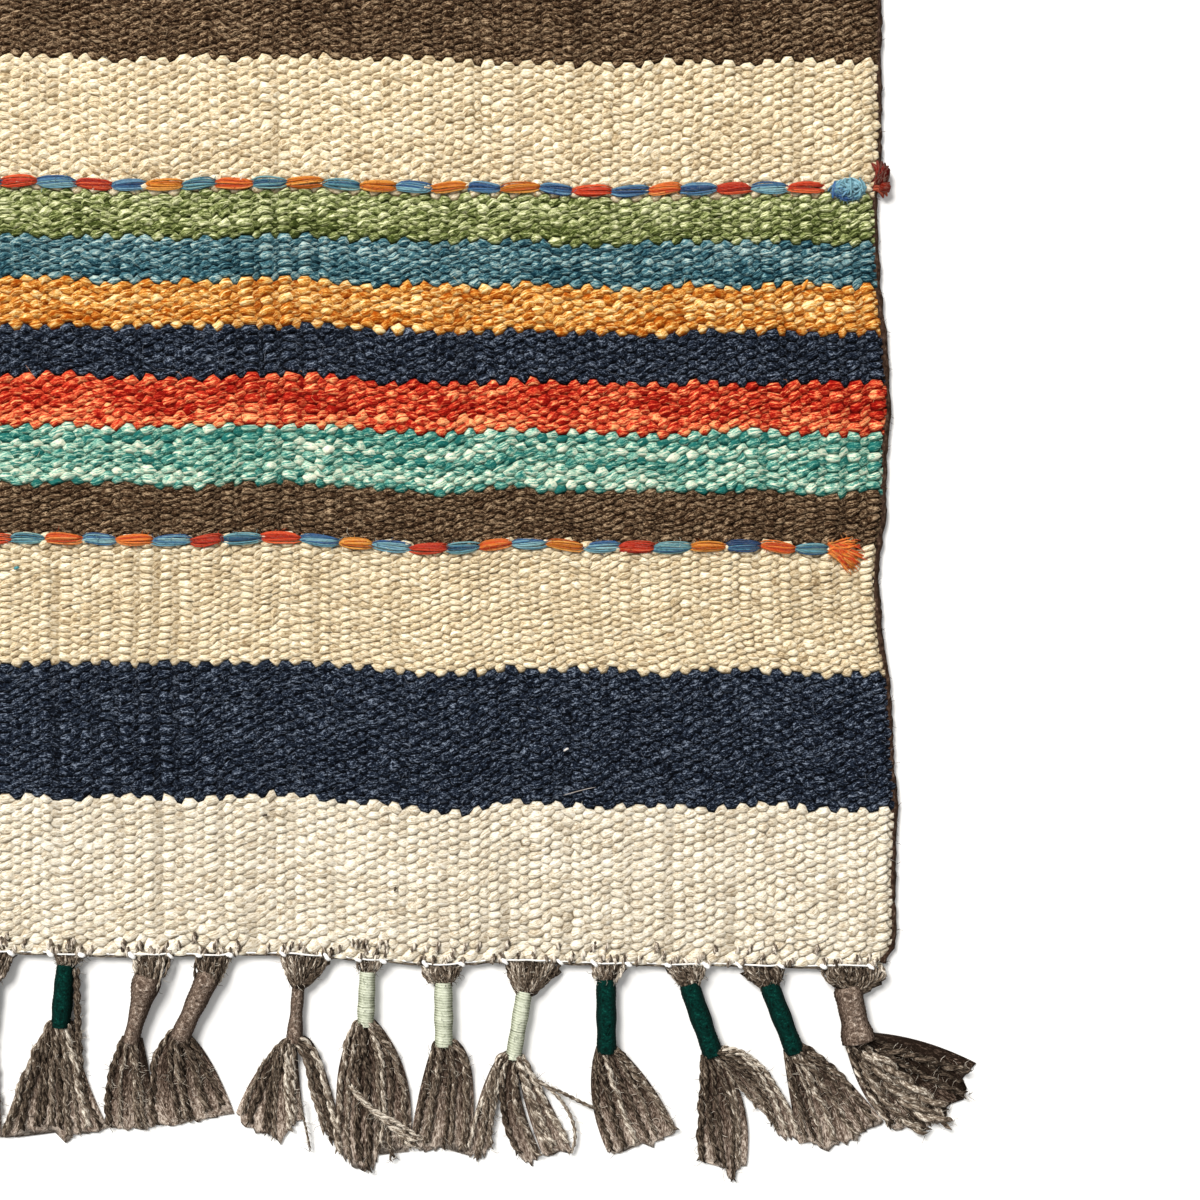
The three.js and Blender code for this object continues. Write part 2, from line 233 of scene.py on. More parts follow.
def mesh_piece(name, points, faces, material, floats=(), vectors=(), uvs=()):
    """A smooth mesh object riding on the rug. faces is a list of index arrays of 3 or 4 columns.
    floats are values per point, vectors per point or face, and uvs are values per corner, in the faces'
    order."""
    mesh = bpy.data.meshes.new(name)
    corners = np.concatenate([f.ravel() for f in faces])
    totals = np.concatenate([np.full(len(f), f.shape[1]) for f in faces])
    mesh.vertices.add(len(points))
    mesh.vertices.foreach_set("co", flat32(points * MILLIMETRE))
    mesh.loops.add(len(corners))
    mesh.loops.foreach_set("vertex_index", corners.astype(np.int32))
    mesh.polygons.add(len(totals))
    mesh.polygons.foreach_set("loop_start", np.concatenate([[0], np.cumsum(totals)[:-1]]).astype(np.int32))
    mesh.polygons.foreach_set("use_smooth", np.ones(len(totals), bool))
    mesh.update(calc_edges=True)
    for key, values in floats:
        mesh.attributes.new(key, "FLOAT", "POINT").data.foreach_set("value", flat32(values))
    for key, values in vectors:
        domain = "POINT" if len(values) == len(points) else "FACE"
        mesh.attributes.new(key, "FLOAT_VECTOR", domain).data.foreach_set("vector", flat32(values))
    for key, values in uvs:
        mesh.uv_layers.new(name=key).data.foreach_set("uv", flat32(values))
    mesh.validate()
    mesh.materials.append(material)
    piece = bpy.data.objects.new(name, mesh)
    bpy.context.scene.collection.objects.link(piece)
    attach(piece, "root")
    return piece


# The rug's outline, read from the CAD
def outline_tables():
    """The right side as X by Y, and the front end as Y by X"""
    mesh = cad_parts["woven_body"].data
    points = np.array([v.co[:] for v in mesh.vertices]) / MILLIMETRE
    ring = points[(points[:, 2] > 0.5) & (points[:, 2] < 3.0)]
    side = ring[(ring[:, 0] > 290) & (abs(ring[:, 1]) < 449.9)]
    end = ring[(ring[:, 1] < -444) & (abs(ring[:, 0]) < 298.6)]
    side = side[np.argsort(side[:, 1])]
    end = end[np.argsort(end[:, 0])]
    return side[:, 1], side[:, 0], end[:, 0], end[:, 1]


SIDE_Y, SIDE_X, END_X, END_Y = outline_tables()


def right_side(y):
    return np.interp(y, SIDE_Y, SIDE_X)


def left_side(y):
    return -right_side(-np.asarray(y))


def front_end(x):
    return np.interp(x, END_X, END_Y)


def back_end(x):
    return -front_end(-np.asarray(x))


def on_rug(nominal, share, shift):
    """X and Y of a point at a distance from the middle line and a share of the length, shifted along"""
    y = front_end(nominal) * (1 - share) + back_end(nominal) * share + shift
    left, right = left_side(y), right_side(y)
    return (left + right) / 2 + nominal * (right - left) / (2 * HALF_WIDTH), y


# Materials
WHITE = (1.0, 1.0, 1.0, 1.0)
GLOSS = 0.08


class Shader:
    """Makes a node material a call at a time"""

    def __init__(self, name):
        self.material = bpy.data.materials.new(name)
        self.material.use_nodes = True
        self.tree = self.material.node_tree
        self.tree.nodes.clear()

    def node(self, kind, *values, out=0, named=(), **settings):
        """A node with its inputs in order or by name: a value, a socket to link, or None to leave it.
        It returns the output number out, or the node itself where it has none."""
        node = self.tree.nodes.new("ShaderNode" + kind)
        for key, value in settings.items():
            setattr(node, key, value)
        for key, value in [*enumerate(values), *dict(named).items()]:
            if isinstance(value, bpy.types.NodeSocket):
                self.tree.links.new(value, node.inputs[key])
            elif value is not None:
                node.inputs[key].default_value = value
        return node.outputs[out] if node.outputs else node

    def math(self, operation, *values, clamp=False):
        return self.node("Math", *values, operation=operation, use_clamp=clamp)

    def times(self, value, size, plus=None):
        """value * size, or value * size + plus"""
        if plus is None:
            return self.math("MULTIPLY", value, size)
        return self.math("MULTIPLY_ADD", value, size, plus)

    def minus(self, value, other=0.5):
        return self.math("SUBTRACT", value, other)

    def attribute(self, name, out=1):
        """out is 0 for a colour, 1 for a vector and 2 for a number"""
        return self.node("Attribute", attribute_name=name, out=out)

    def parts(self, vector):
        return self.node("SeparateXYZ", vector).node.outputs

    def join(self, x, y, z=0.0):
        return self.node("CombineXYZ", x, y, z)

    def noise(self, vector, scale, detail=2.0, roughness=0.5):
        named = {"Vector": vector, "Scale": scale, "Detail": detail, "Roughness": roughness}
        return self.node("TexNoise", named=named)

    def thin_lines(self, value, sharpness):
        """Bright lines where a noise crosses its middle, like single pale fibres"""
        far = self.math("ABSOLUTE", self.minus(value))
        return self.math("MULTIPLY_ADD", far, -sharpness, 1.0, clamp=True)

    def random(self, vector, out=0):
        return self.node("TexWhiteNoise", vector, out=out)

    def tones(self, value, colours):
        """The colours from dark to light, spread over the values from 0 to 1"""
        ramp = self.node("ValToRGB", value)
        stops = ramp.node.color_ramp.elements
        while len(stops) < len(colours):
            stops.new(0.5)
        for k, colour in enumerate(colours):
            stops[k].position = (k + 0.3) / (len(colours) - 0.4)
            stops[k].color = (*linear(colour), 1.0)
        return ramp

    def mix(self, amount, first, second, blend="MIX"):
        named = {0: amount, 6: first, 7: second}
        return self.node("Mix", named=named, data_type="RGBA", blend_type=blend, out=2)

    def shaded(self, colour, amount, dark):
        """The colour, darkened where amount is small"""
        return self.mix(1.0, colour, self.mix(amount, dark, WHITE), "MULTIPLY")

    def finish(self, colour, height=None, lift=0.2, roughness=0.95):
        """Dull wool of a colour, with relief as high as lift"""
        named = {"Base Color": colour, "Roughness": roughness, "Specular IOR Level": GLOSS}
        shader = self.node("BsdfPrincipled", named=named)
        if height is not None:
            relief = {"Strength": 1.0, "Distance": lift * MILLIMETRE, "Height": height}
            self.tree.links.new(self.node("Bump", named=relief), shader.node.inputs["Normal"])
        self.node("OutputMaterial", shader)
        return self.material


def weave_tone(shader, colour, cell, local):
    """The tone of a marled weft yarn, its relief, and how far a place is inside its bump's lens, which sets
    the relief and the painted shade of the gaps
    """
    picks, drift, bumps, streaks, fibres = MIXES[colour]
    times = shader.times
    column, pick, _ = shader.parts(cell)
    u, v, _ = shader.parts(local)
    by_pick = shader.random(shader.join(7.0, shader.math("FLOOR", times(pick, 0.5)), 3.0))
    along = shader.noise(shader.join(times(column, 0.12), times(pick, 0.6)), 1.0)
    by_bump = shader.random(cell)
    apart, turn, _ = shader.parts(shader.random(shader.join(column, pick, 9.0), out=1))
    across = times(u, -0.32, v)
    start = times(apart, 37.0, times(u, 0.55))
    offset = times(turn, 23.0)
    streak = shader.noise(shader.join(start, times(across, 2.5, offset)), 1.0, 1.0)
    fibre = shader.noise(shader.join(times(u, 1.3, start), times(across, 4.4, offset)), 1.0, 3.0, 0.8)
    tone = TONE_MIDDLE[colour]
    for part, size in ((by_pick, picks), (along, 2 * drift), (by_bump, bumps),
                       (streak, 2 * streaks), (fibre, 2 * fibres)):
        tone = times(shader.minus(part), size, tone)
    if colour in PALE_FIBRES:
        place = shader.join(times(apart, 60.0, times(u, 1.3)), times(turn, 60.0, times(v, 1.5)))
        tone = times(shader.thin_lines(shader.noise(place, 1.0), 16.0), PALE_FIBRES[colour], tone)
    # The lens has a ragged edge and lies a little below the bump's middle: outside it, painted shade darkens
    # the gap, most at the bump's lower edge, away from the key lamp
    ragged = times(shader.minus(fibre), 0.8)
    low = shader.minus(v, 0.12)
    wide = times(u, 0.86)
    reach = shader.math("SQRT", times(wide, wide, times(low, low)))
    gap = NARROW_GAP if colour in PALE_COLOURS else GAP
    lens = shader.node("MapRange", shader.math("ADD", reach, ragged), *gap, 1.0, 0.0,
                       interpolation_type="SMOOTHSTEP")
    return tone, times(fibre, 0.8, times(streak, 0.45)), lens


def weave_material(colour):
    shader = Shader("weave_" + colour)
    tone, relief, lens = weave_tone(shader, colour, shader.attribute("cell"), shader.attribute("local"))
    # Painted shade: the yarn darkens in the valleys, on lower columns, towards the sides and in the gaps
    # outside the lens
    opening = shader.times(shader.attribute("open", out=2), lens)
    base = shader.shaded(shader.tones(tone, TONES[colour]), opening, SHADE[colour])
    return shader.finish(base, shader.times(lens, 1.0, relief), lift=0.42)


def ground_material(colour):
    """The weave of the underside and the edges, from places counted in columns and picks"""
    shader = Shader("ground_" + colour)
    at, pick, _ = shader.parts(shader.attribute("place"))
    column = shader.math("FLOOR", at)
    odd = shader.math("MODULO", column, 2.0)
    half = shader.times(odd, 0.5, shader.times(pick, 0.5))
    row = shader.math("FLOOR", half)
    u = shader.times(shader.math("FRACT", at), 2.0, -1.0)
    v = shader.times(shader.math("FRACT", half), 2.0, -1.0)
    tone, relief, lens = weave_tone(shader, colour, shader.join(column, row, odd), shader.join(u, v))
    # Painted shade in the gaps between bumps, as on the upper side
    base = shader.shaded(shader.tones(tone, TONES[colour]), lens, SHADE[colour])
    return shader.finish(base, shader.times(lens, 1.4, relief), lift=0.9)


def strand_fibres(shader, seed, fine):
    """Fibres along a strand, and the pale ones among them"""
    times = shader.times
    strand = shader.node("VectorMath", shader.attribute("strand"), (fine, fine, fine), operation="MULTIPLY")
    along, over, up = shader.parts(strand)
    place = shader.join(times(along, 0.55), over, times(seed, 31.0, up))
    fibre = shader.noise(place, 0.9, 4.0, 0.75)
    thin = shader.noise(shader.join(times(along, 0.30), times(over, 1.3), times(seed, 17.0, up)), 1.0)
    return fibre, shader.thin_lines(thin, 15.0)


def yarn_material(colour, fibres, pale, fine=1.0):
    """Spun yarn: each ply has its own shade, with fibres running along it"""
    shader = Shader("yarn_" + colour)
    shade = shader.attribute("shade", out=2)
    fibre, thin = strand_fibres(shader, shade, fine)
    tone = shader.times(shader.minus(fibre), 2 * fibres, shade)
    tone = shader.times(thin, pale, tone)
    return shader.finish(shader.tones(tone, TONES[colour]), fibre, lift=0.25)


def dyed_material():
    """Yarn whose colour differs from strand to strand"""
    shader = Shader("yarn_dyed")
    fibre, thin = strand_fibres(shader, shader.attribute("shade", out=2), 1.7)
    colour = shader.attribute("dye", out=0)
    amount = shader.math("MULTIPLY_ADD", fibre, 2.6, -0.55, clamp=True)
    base = shader.shaded(colour, amount, (0.34, 0.22, 0.20, 1.0))
    light = shader.mix(shader.times(thin, 0.10), base, (0.92, 0.80, 0.62, 1.0))
    return shader.finish(light, fibre, lift=0.25)


def floor_material():
    shader = Shader("studio_floor")
    place = shader.node("TexCoord", out=3)
    return shader.finish(shader.tones(shader.noise(place, 3.0), TONES["floor"]), roughness=0.8)


# The yarns outside the weave: their colour, how much the fibres change it, how bright the pale
# fibres are, and how fine they are
YARN_LOOKS = {
    "yarn": ("yarn", 1.0, 0.30), "mat": ("mat", 1.2, 0.30), "dark": ("dark", 1.1, 0.12, 2.6),
    "pale": ("pale", 0.8, 0.10, 2.2), "own": ("mat", 0.75, 0.28, 2.2), "white": ("white", 0.3, 0.0),
    "shaded_selvedge": ("shaded_selvedge", 0.9, 0.2),
}
YARNS = {name: yarn_material(*look) for name, look in YARN_LOOKS.items()}
YARNS["dyed"] = dyed_material()


# The weave
def full_bands():
    """Every band from front to back: colour, where it starts and ends, and its rows of bumps"""
    order = [*END_BANDS, *MIDDLE_BANDS, *reversed(END_BANDS)]
    scale = LENGTH / sum(depth for _, depth, _ in order)
    bands, start = [], 0.0
    for colour, depth, pitch in order:
        rows = round(depth * scale / pitch)
        bands.append((colour, start, start + depth * scale, rows))
        start += depth * scale
    return bands


BANDS = full_bands()
ROWS = sum(rows for _, _, _, rows in BANDS)


def band_of(row):
    """The number of the band that a row of bumps is in"""
    ends = np.cumsum([rows for _, _, _, rows in BANDS])
    return np.searchsorted(ends, np.clip(row, 0, ROWS - 1), side="right")


def half_row_places():
    """The distance from the front end of each half row of bumps, one beyond either end"""
    places = [0.0]
    for _, start, end, rows in BANDS:
        places.extend(start + (end - start) * np.arange(1, 2 * rows + 1) / (2 * rows))
    return np.array([-0.5, *places, LENGTH + 0.5])


wander_over = [waves(5, 260, 22) for _ in range(4)]
wander_along = [waves(4, 190, 40) for _ in range(3)]
ROUND_EDGE = EDGE_RADIUS * math.pi / 2
SURFACE_WIDTH = 2 * (HALF_WIDTH - EDGE_INSET - EDGE_RADIUS) + 2 * ROUND_EDGE


def surface(t, along, lift):
    """A point over the weave: t runs across from the outermost line of the left side,
    along is the distance from the front end, and lift the height above the valleys"""
    t, along, lift = np.broadcast_arrays(t, along, lift)
    inner = np.minimum(t, SURFACE_WIDTH - t)
    side = np.where(t < SURFACE_WIDTH / 2, -1.0, 1.0)
    angle = np.minimum(inner / EDGE_RADIUS, math.pi / 2)
    inset = EDGE_INSET + EDGE_RADIUS * (1 - np.cos(angle)) + np.maximum(inner - ROUND_EDGE, 0)
    nominal = side * (HALF_WIDTH - inset + lift * np.cos(angle))
    height = EDGE_RADIUS * (1 + np.sin(angle)) + lift * np.sin(angle)
    near_end = smooth(np.minimum(along, LENGTH - along) / 30)
    drift = sum(w(nominal + 90 * k) * np.sin(along / (70 + 23 * k) + k) for k, w in enumerate(wander_over))
    slant = 0.6 * smooth(1 - (HALF_WIDTH - abs(nominal)) / 12)
    x, y = on_rug(nominal, along / LENGTH, near_end * (1.1 * drift + slant))
    sway = sum(w(along + 60 * k) * np.sin(nominal / (31 + 17 * k)) for k, w in enumerate(wander_along))
    x = x + 0.7 * smooth((HALF_WIDTH - abs(nominal)) / 20) * sway
    return np.stack([x, y, np.maximum(height, 0.15)], axis=-1)


def surface_y(x, along):
    return float(surface(x + HALF_WIDTH, along, 0.0)[1])


wide_patches = [waves(3, 330, 90) for _ in range(4)]


def ribbing(nominal, along):
    """How much every other column stands out over its neighbours, from 0 to 1"""
    patch = sum(w(nominal + 130 * k) * np.sin(along / (38 + 19 * k) + 2 * k)
                for k, w in enumerate(wide_patches))
    near_side = smooth((nominal - 185) / 90) * (1 - 0.4 * smooth((nominal - 280) / 12))
    near_dashes = sum(smooth(1 - abs(along - row) / 16) for row in DASH_ROWS)
    middle = smooth(1 - abs(along - 120) / 45) * smooth((nominal - 160) / 80)
    near_end = smooth(1 - along / 40)
    stand = 0.14 + 0.44 * patch + 0.26 * near_side + 0.08 * near_dashes + 0.4 * middle + 0.1 * near_end
    return np.clip(stand, 0, 1)


JOSTLES = [(2 * np.pi / length, random.uniform(0, np.pi), random.uniform(0, 2 * np.pi))
           for length in np.geomspace(10, 40, 16)]


def jostled(t, along):
    """The places, each pushed a little out of its row and column together with its neighbours"""
    t, along = np.broadcast_arrays(t, along)
    over, on = np.zeros(t.shape), np.zeros(t.shape)
    for number, (pace, way, phase) in enumerate(JOSTLES):
        push = np.sin(pace * (t * math.cos(way) + along * math.sin(way)) + phase)
        if number % 2:
            on = on + JOSTLE_ALONG * push
        else:
            over = over + JOSTLE_OVER * push
    free = smooth(np.minimum(along, LENGTH - along) / 4) * smooth(np.minimum(t, SURFACE_WIDTH - t) / 6)
    return t + over * free, along + on * free


def column_stand(centre_t, half):
    """How far each column stands out over its neighbours, from -1 to 1, along its length"""
    knots = np.linspace(0, LENGTH, 18)
    own = np.stack([np.interp(half, knots, random.normal(0, 0.40, len(knots))) for _ in range(COLUMNS)])
    by_turns = np.where(np.arange(COLUMNS) % 2 == 0, 1.0, -1.0)[:, None]
    return np.clip(by_turns * ribbing(centre_t - HALF_WIDTH, half[None, :]) + own, -1, 1)


def lean(nominal):
    """How far a bump's corners are shifted up or down, so that it rises to the right"""
    return 0.06 + 0.10 * smooth((nominal - 245) / 45)


def point_reach(h, line_t):
    """How far the bumps' points reach over the lines between columns, at each half row"""
    reach = np.array([POINTS[BANDS[k][0]] for k in band_of((h - 1) // 2)])[None, :]
    reach = reach * (1 + LONG_POINTS * (1 - smooth((line_t - HALF_WIDTH - 60) / 120)))
    return np.where(((h < 3) | (h > 2 * ROWS - 3))[None, :], LAST_REACH, reach)


def lines_between(half, stand):
    """The zigzag lines between columns. A line's point is the tip of a bump of the column on one
    side or the other, by turns, and a column that stands out widens into its neighbours."""
    number = np.arange(COLUMNS + 1)
    line_t = np.linspace(-EDGE_TUCK, SURFACE_WIDTH + EDGE_TUCK, len(number))[:, None]
    h = np.arange(len(half)) - 1
    level = np.zeros((1, len(half)))
    step = np.concatenate([level, stand]) - np.concatenate([stand, level])
    points_right = (h[None, :] - number[:, None]) % 2 == 0
    reach = point_reach(h, line_t) * (1 - 0.22 * np.minimum(abs(step), 2))
    shift = np.where(points_right, reach, -reach) + 0.24 * step
    shift[[0, -1]] = 0
    inner = (np.minimum(number, COLUMNS - number) > 0)[:, None]
    free = (np.minimum(h, 2 * ROWS - h) > 0)[None, :]
    rise = np.where(points_right, -1.0, 1.0) * lean(line_t - HALF_WIDTH) * inner
    along = half[None, :] + (rise + random.normal(0, 0.28, step.shape)) * free
    jitter = random.normal(0, 0.18, step.shape) + random.normal(0, 0.20, (len(number), 1))
    return jostled(line_t + shift + inner * jitter, along)


def crests(centre_t, half, stand):
    """The crest of each bump: its place across and along, its height, and how far it is raised"""
    rise = 1 + 0.35 * stand - 0.18 * stand ** 2
    height = BUMP_HEIGHT * rise * (1 + random.normal(0, 0.16, stand.shape))
    centre_t = centre_t + random.normal(0, 0.20, stand.shape)
    along = half[None, :] + random.normal(0, 0.18, stand.shape)
    return *jostled(centre_t, along), height, rise


# The corners of a bump, from its lower right round: which line they are on, and which half row
CORNER_LINE = np.array([1, 1, 1, 0, 0, 0])
CORNER_HALF = np.array([-1, 0, 1, 1, 0, -1])


class Weave:
    """The points of all bumps, in one list of lines, crests and rings, and what each bump is made of"""

    def __init__(self):
        half = half_row_places()
        width = SURFACE_WIDTH + 2 * EDGE_TUCK
        middle_t = ((np.arange(COLUMNS) + 0.5) / COLUMNS * width - EDGE_TUCK)[:, None]
        stand = column_stand(middle_t, half)
        line_t, line_along = lines_between(half, stand)
        centre_t, centre_along, crest, rise = crests(middle_t, half, stand)
        line_points = self.line_points(line_t, line_along)
        centre_points = surface(centre_t, centre_along, crest)

        # Bumps of even columns are centred on odd half rows, and those of odd columns on even ones
        column, k = np.meshgrid(np.arange(COLUMNS), np.arange(1, len(half) - 1), indexing="ij")
        there = (k - 1 + column) % 2 == 1
        self.column, self.k = column, k = column[there], k[there]
        self.count = len(column)
        corner = (column[:, None] + CORNER_LINE, k[:, None] + CORNER_HALF)
        t, along = centre_t[column, k], centre_along[column, k]
        ring_t, ring_along, lift = self.rings(line_t[corner], line_along[corner], t, along, crest[column, k])

        ring_points = surface(ring_t, ring_along, lift)
        own_points = centre_points[column, k]
        self.points = np.concatenate([line_points.reshape(-1, 3), own_points, ring_points.reshape(-1, 3)])
        self.t = np.concatenate([line_t.ravel(), t, ring_t.ravel()])
        self.along = np.concatenate([line_along.ravel(), along, ring_along.ravel()])
        # The painted light of each point: painted shade in the valleys, on columns that lie lower and towards
        # the sides, with a little random change by bump
        rim = smooth((np.minimum(self.t, SURFACE_WIDTH - self.t) + EDGE_TUCK) / 3.0)
        lit = np.minimum(1, (0.12 + 0.88 * rise[column, k]) * random.uniform(0.86, 1.1, self.count))
        self.open = np.concatenate([np.full(line_t.size, VALLEY_OPEN), lit, np.repeat(lit, 6)])
        self.open = self.open * (0.25 + 0.75 * rim)

        self.line_index = corner[0] * len(half) + corner[1]
        self.centre_index = line_t.size + np.arange(self.count)
        self.ring_index = line_t.size + self.count + 6 * np.arange(self.count)[:, None] + np.arange(6)
        self.fine = (own_points[:, 0] > FINE_LEFT) & (along < FINE_FAR)

    def rings(self, corner_t, corner_along, t, along, crest):
        """The ring of points round the crest of each bump, across, along and up, from its corners"""
        # Places in a bump, counted from its middle to its points and to the next bumps of its column
        tip = (abs(corner_t[:, 1] - t) + abs(corner_t[:, 4] - t))[:, None] / 2
        across = (corner_t - t[:, None]) / tip
        self.corner_local = np.stack([across, np.broadcast_to(CORNER_HALF, across.shape)], -1)
        pull = 1 / np.maximum(np.linalg.norm(self.corner_local, axis=-1), 1)
        share = RING_SHARE * pull * (1 + random.normal(0, 0.05, across.shape))
        self.ring_local = self.corner_local * share[..., None]
        lift = crest[:, None] * RING_HEIGHT * (1 + random.normal(0, 0.06, across.shape))
        ring_t = t[:, None] + (corner_t - t[:, None]) * share
        ring_along = along[:, None] + (corner_along - along[:, None]) * share
        return ring_t, ring_along, lift

    def line_points(self, line_t, line_along):
        """The lines' points, tucked under the weave where they pass its ends"""
        tucked = np.minimum(line_along, LENGTH - line_along) < -0.3
        points = surface(line_t, line_along, np.where(tucked, 0.0, random.uniform(-0.12, 0.12, line_t.shape)))
        points[..., 2] = np.where(tucked, 1.0, points[..., 2])
        return points

    def faces(self, chosen, is_fine):
        """The triangles and quads of the chosen bumps, each as indices, places in the bump and bumps"""
        def face(*corners):
            return np.stack([i for i, _ in corners], 1), np.stack([p for _, p in corners], 1), chosen

        middle = (self.centre_index[chosen], np.zeros((len(chosen), 2)))
        outer = [(self.line_index[chosen, c], self.corner_local[chosen, c]) for c in range(6)]
        ring = [(self.ring_index[chosen, c], self.ring_local[chosen, c]) for c in range(6)]
        first = ring if is_fine else outer
        triangles = [face(middle, first[c], first[(c + 1) % 6]) for c in range(6)]
        quads = [face(ring[c], outer[c], outer[(c + 1) % 6], ring[(c + 1) % 6]) for c in range(6) if is_fine]
        return triangles, quads

    def piece(self, number, mine, material):
        """The bumps of one band"""
        colour, start, end, _ = BANDS[number]
        fine, coarse = (np.nonzero(mine & (self.fine == is_fine))[0] for is_fine in (True, False))
        triangles, quads = self.faces(fine, True)
        triangles += self.faces(coarse, False)[0]
        groups = [[np.concatenate(part) for part in zip(*group)] for group in (triangles, quads)]
        local = np.concatenate([places.reshape(-1, 2) for _, places, _ in groups])
        bump = np.concatenate([bumps for _, _, bumps in groups])
        cell = np.stack([self.column[bump], self.k[bump], np.full(len(bump), number)], 1)
        used, compact = np.unique(np.concatenate([f.ravel() for f, _, _ in groups]), return_inverse=True)
        small = np.split(compact, [groups[0][0].size])
        small = [part.reshape(-1, wide) for part, wide in zip(small, (3, 4)) if len(part)]
        corner_column = np.concatenate([np.repeat(self.column[bumps], f.shape[1]) for f, _, bumps in groups])
        bake = strip_map(self.t[used][compact], self.along[used][compact], corner_column, end - start)
        piece = mesh_piece(f"weave_{number + 1:02d}_{colour}", self.points[used], small, material,
                           floats=[("open", self.open[used])], vectors=[("cell", cell)],
                           uvs=[("local", local), ("OFBake", bake)])
        return piece


def weave_pieces():
    weave = Weave()
    bands = band_of((weave.k - 1) // 2)
    materials = {colour: weave_material(colour) for colour in MIXES}
    return [weave.piece(number, bands == number, materials[colour])
            for number, (colour, *_) in enumerate(BANDS)]


def strip_map(t, along, column, depth):
    """A map for a long band: cut into lengths that lie in rows and fill the square"""
    rows = max(1, round(math.sqrt(2 * HALF_WIDTH / depth)))
    part = column * rows // COLUMNS
    uv = np.zeros((len(t), 2))
    low, high = along.min(), along.max()
    uv[:, 1] = (part + 0.02 + 0.96 * (along - low) / (high - low)) / rows
    for k in range(rows):
        mine = part == k
        first, last = t[mine].min(), t[mine].max()
        uv[mine, 0] = 0.004 + 0.992 * (t[mine] - first) / (last - first)
    return uv


# The ground under the bumps
GROUND_LOW, GROUND_HIGH = 0.05, 2.45
GROUND_STEPS, GROUND_ACROSS = 100, 40
# The rounded sides of its section: how far in from the side, and how high
GROUND_ROUND = [(1.05, 0.2), (0.35, 0.75), (0.2, 1.4), (0.5, 2.1), (1.6, GROUND_HIGH)]


def ground_section():
    """The section's points: from -1 to 1 across, in from the side where they are round, and height"""
    inner = np.linspace(-1, 1, GROUND_ACROSS)
    section = [(s, 0.0, GROUND_LOW) for s in inner]
    section += [(1.0, inset, z) for inset, z in GROUND_ROUND]
    section += [(s, 0.0, GROUND_HIGH) for s in inner[::-1]]
    section += [(-1.0, inset, z) for inset, z in reversed(GROUND_ROUND)]
    return np.array(section).T


def ring_quads(steps, sides):
    """The four corners, going round, of each quad between rings of points that close on themselves"""
    i, j = np.meshgrid(np.arange(steps - 1), np.arange(sides), indexing="ij")
    j_next = (j + 1) % sides
    return i * sides + j, i * sides + j_next, (i + 1) * sides + j_next, (i + 1) * sides + j


def ground_faces(steps, count):
    """The quads between sections and the caps of both ends, and the triangles at the caps' sides"""
    round_count = len(GROUND_ROUND)
    quads = np.stack(ring_quads(steps, count), -1).reshape(-1, 4)
    low = np.arange(GROUND_ACROSS)
    high = GROUND_ACROSS + round_count + (GROUND_ACROSS - 1 - low)
    last = (steps - 1) * count
    caps = np.stack([low[:-1], high[:-1], high[1:], low[1:]], 1)
    right = [GROUND_ACROSS - 1 + k for k in range(round_count + 2)]
    left = [0, *[count - 1 - k for k in range(round_count)], count - 1 - round_count]
    fans = [(right[0], right[k + 1], right[k]) for k in range(1, len(right) - 1)]
    fans += [(left[0], left[k], left[k + 1]) for k in range(1, len(left) - 1)]
    fans = np.array(fans)
    return [np.concatenate([quads, caps, caps[:, ::-1] + last]), np.concatenate([fans, fans[:, ::-1] + last])]


def ground_piece():
    """A closed slab under the bumps, whose underside shows the bands"""
    band_lines = [start for _, start, _, _ in BANDS] + [LENGTH]
    alongs = np.unique(np.round(np.concatenate([np.linspace(0, LENGTH, GROUND_STEPS), band_lines]), 3))
    alongs = alongs[np.concatenate([[True], np.diff(alongs) > 0.8])]
    s, inset, z = ground_section()
    nominal = np.where(inset > 0, np.sign(s) * (HALF_WIDTH - 0.9 - inset), (HALF_WIDTH - 2.6) * s)
    half = half_row_places()
    rings, places = [], []
    for along in alongs:
        share = along / LENGTH
        x, y = on_rug(nominal, share, 1.6 - 3.2 * share)
        rings.append(np.stack([x, y, z], 1))
        pick = np.interp(along, half, np.arange(len(half)) - 1)
        places.append(np.stack([(nominal + HALF_WIDTH) / COLUMN, np.full(len(s), pick), 0 * s], 1))
    faces = ground_faces(len(rings), len(s))
    materials = [ground_material(colour) for colour in MIXES]
    order = list(MIXES)
    piece = mesh_piece("rug_ground", np.concatenate(rings), faces, materials[0],
                       vectors=[("place", np.concatenate(places))])
    for material in materials[1:]:
        piece.data.materials.append(material)
    slots = []
    for at in alongs[:-1] + np.diff(alongs) / 2:
        slots += [order.index(next(c for c, _, end, _ in BANDS if at < end))] * len(s)
    caps = [order.index(BANDS[0][0])] * (len(faces[0]) + len(faces[1]) - len(slots))
    piece.data.polygons.foreach_set("material_index", np.array(slots + caps, np.int32))
    return piece


# Yarns
def directions(path):
    """Along a path, across it on the level, and across it upward"""
    along = np.gradient(path, axis=0)
    along /= np.maximum(np.linalg.norm(along, axis=1, keepdims=True), 1e-9)
    side = np.cross(along, [0, 0, 1.0])
    size = np.linalg.norm(side, axis=1, keepdims=True)
    side = np.where(size > 0.05, side / np.maximum(size, 1e-9), [1.0, 0, 0])
    return along, side, np.cross(side, along)


def path_length(path):
    return np.concatenate([[0], np.cumsum(np.linalg.norm(np.diff(path, axis=0), axis=1))])


def bezier(points, steps):
    """A smooth path through the control points of one Bezier curve"""
    share = np.linspace(0, 1, steps)[:, None]
    points = np.repeat(np.array(points, float)[:, None, :], steps, axis=1)
    while len(points) > 1:
        points = points[:-1] * (1 - share) + points[1:] * share
    return points[0]


def side_angles(sides):
    return 2 * np.pi * (np.arange(sides) + 0.5) / sides


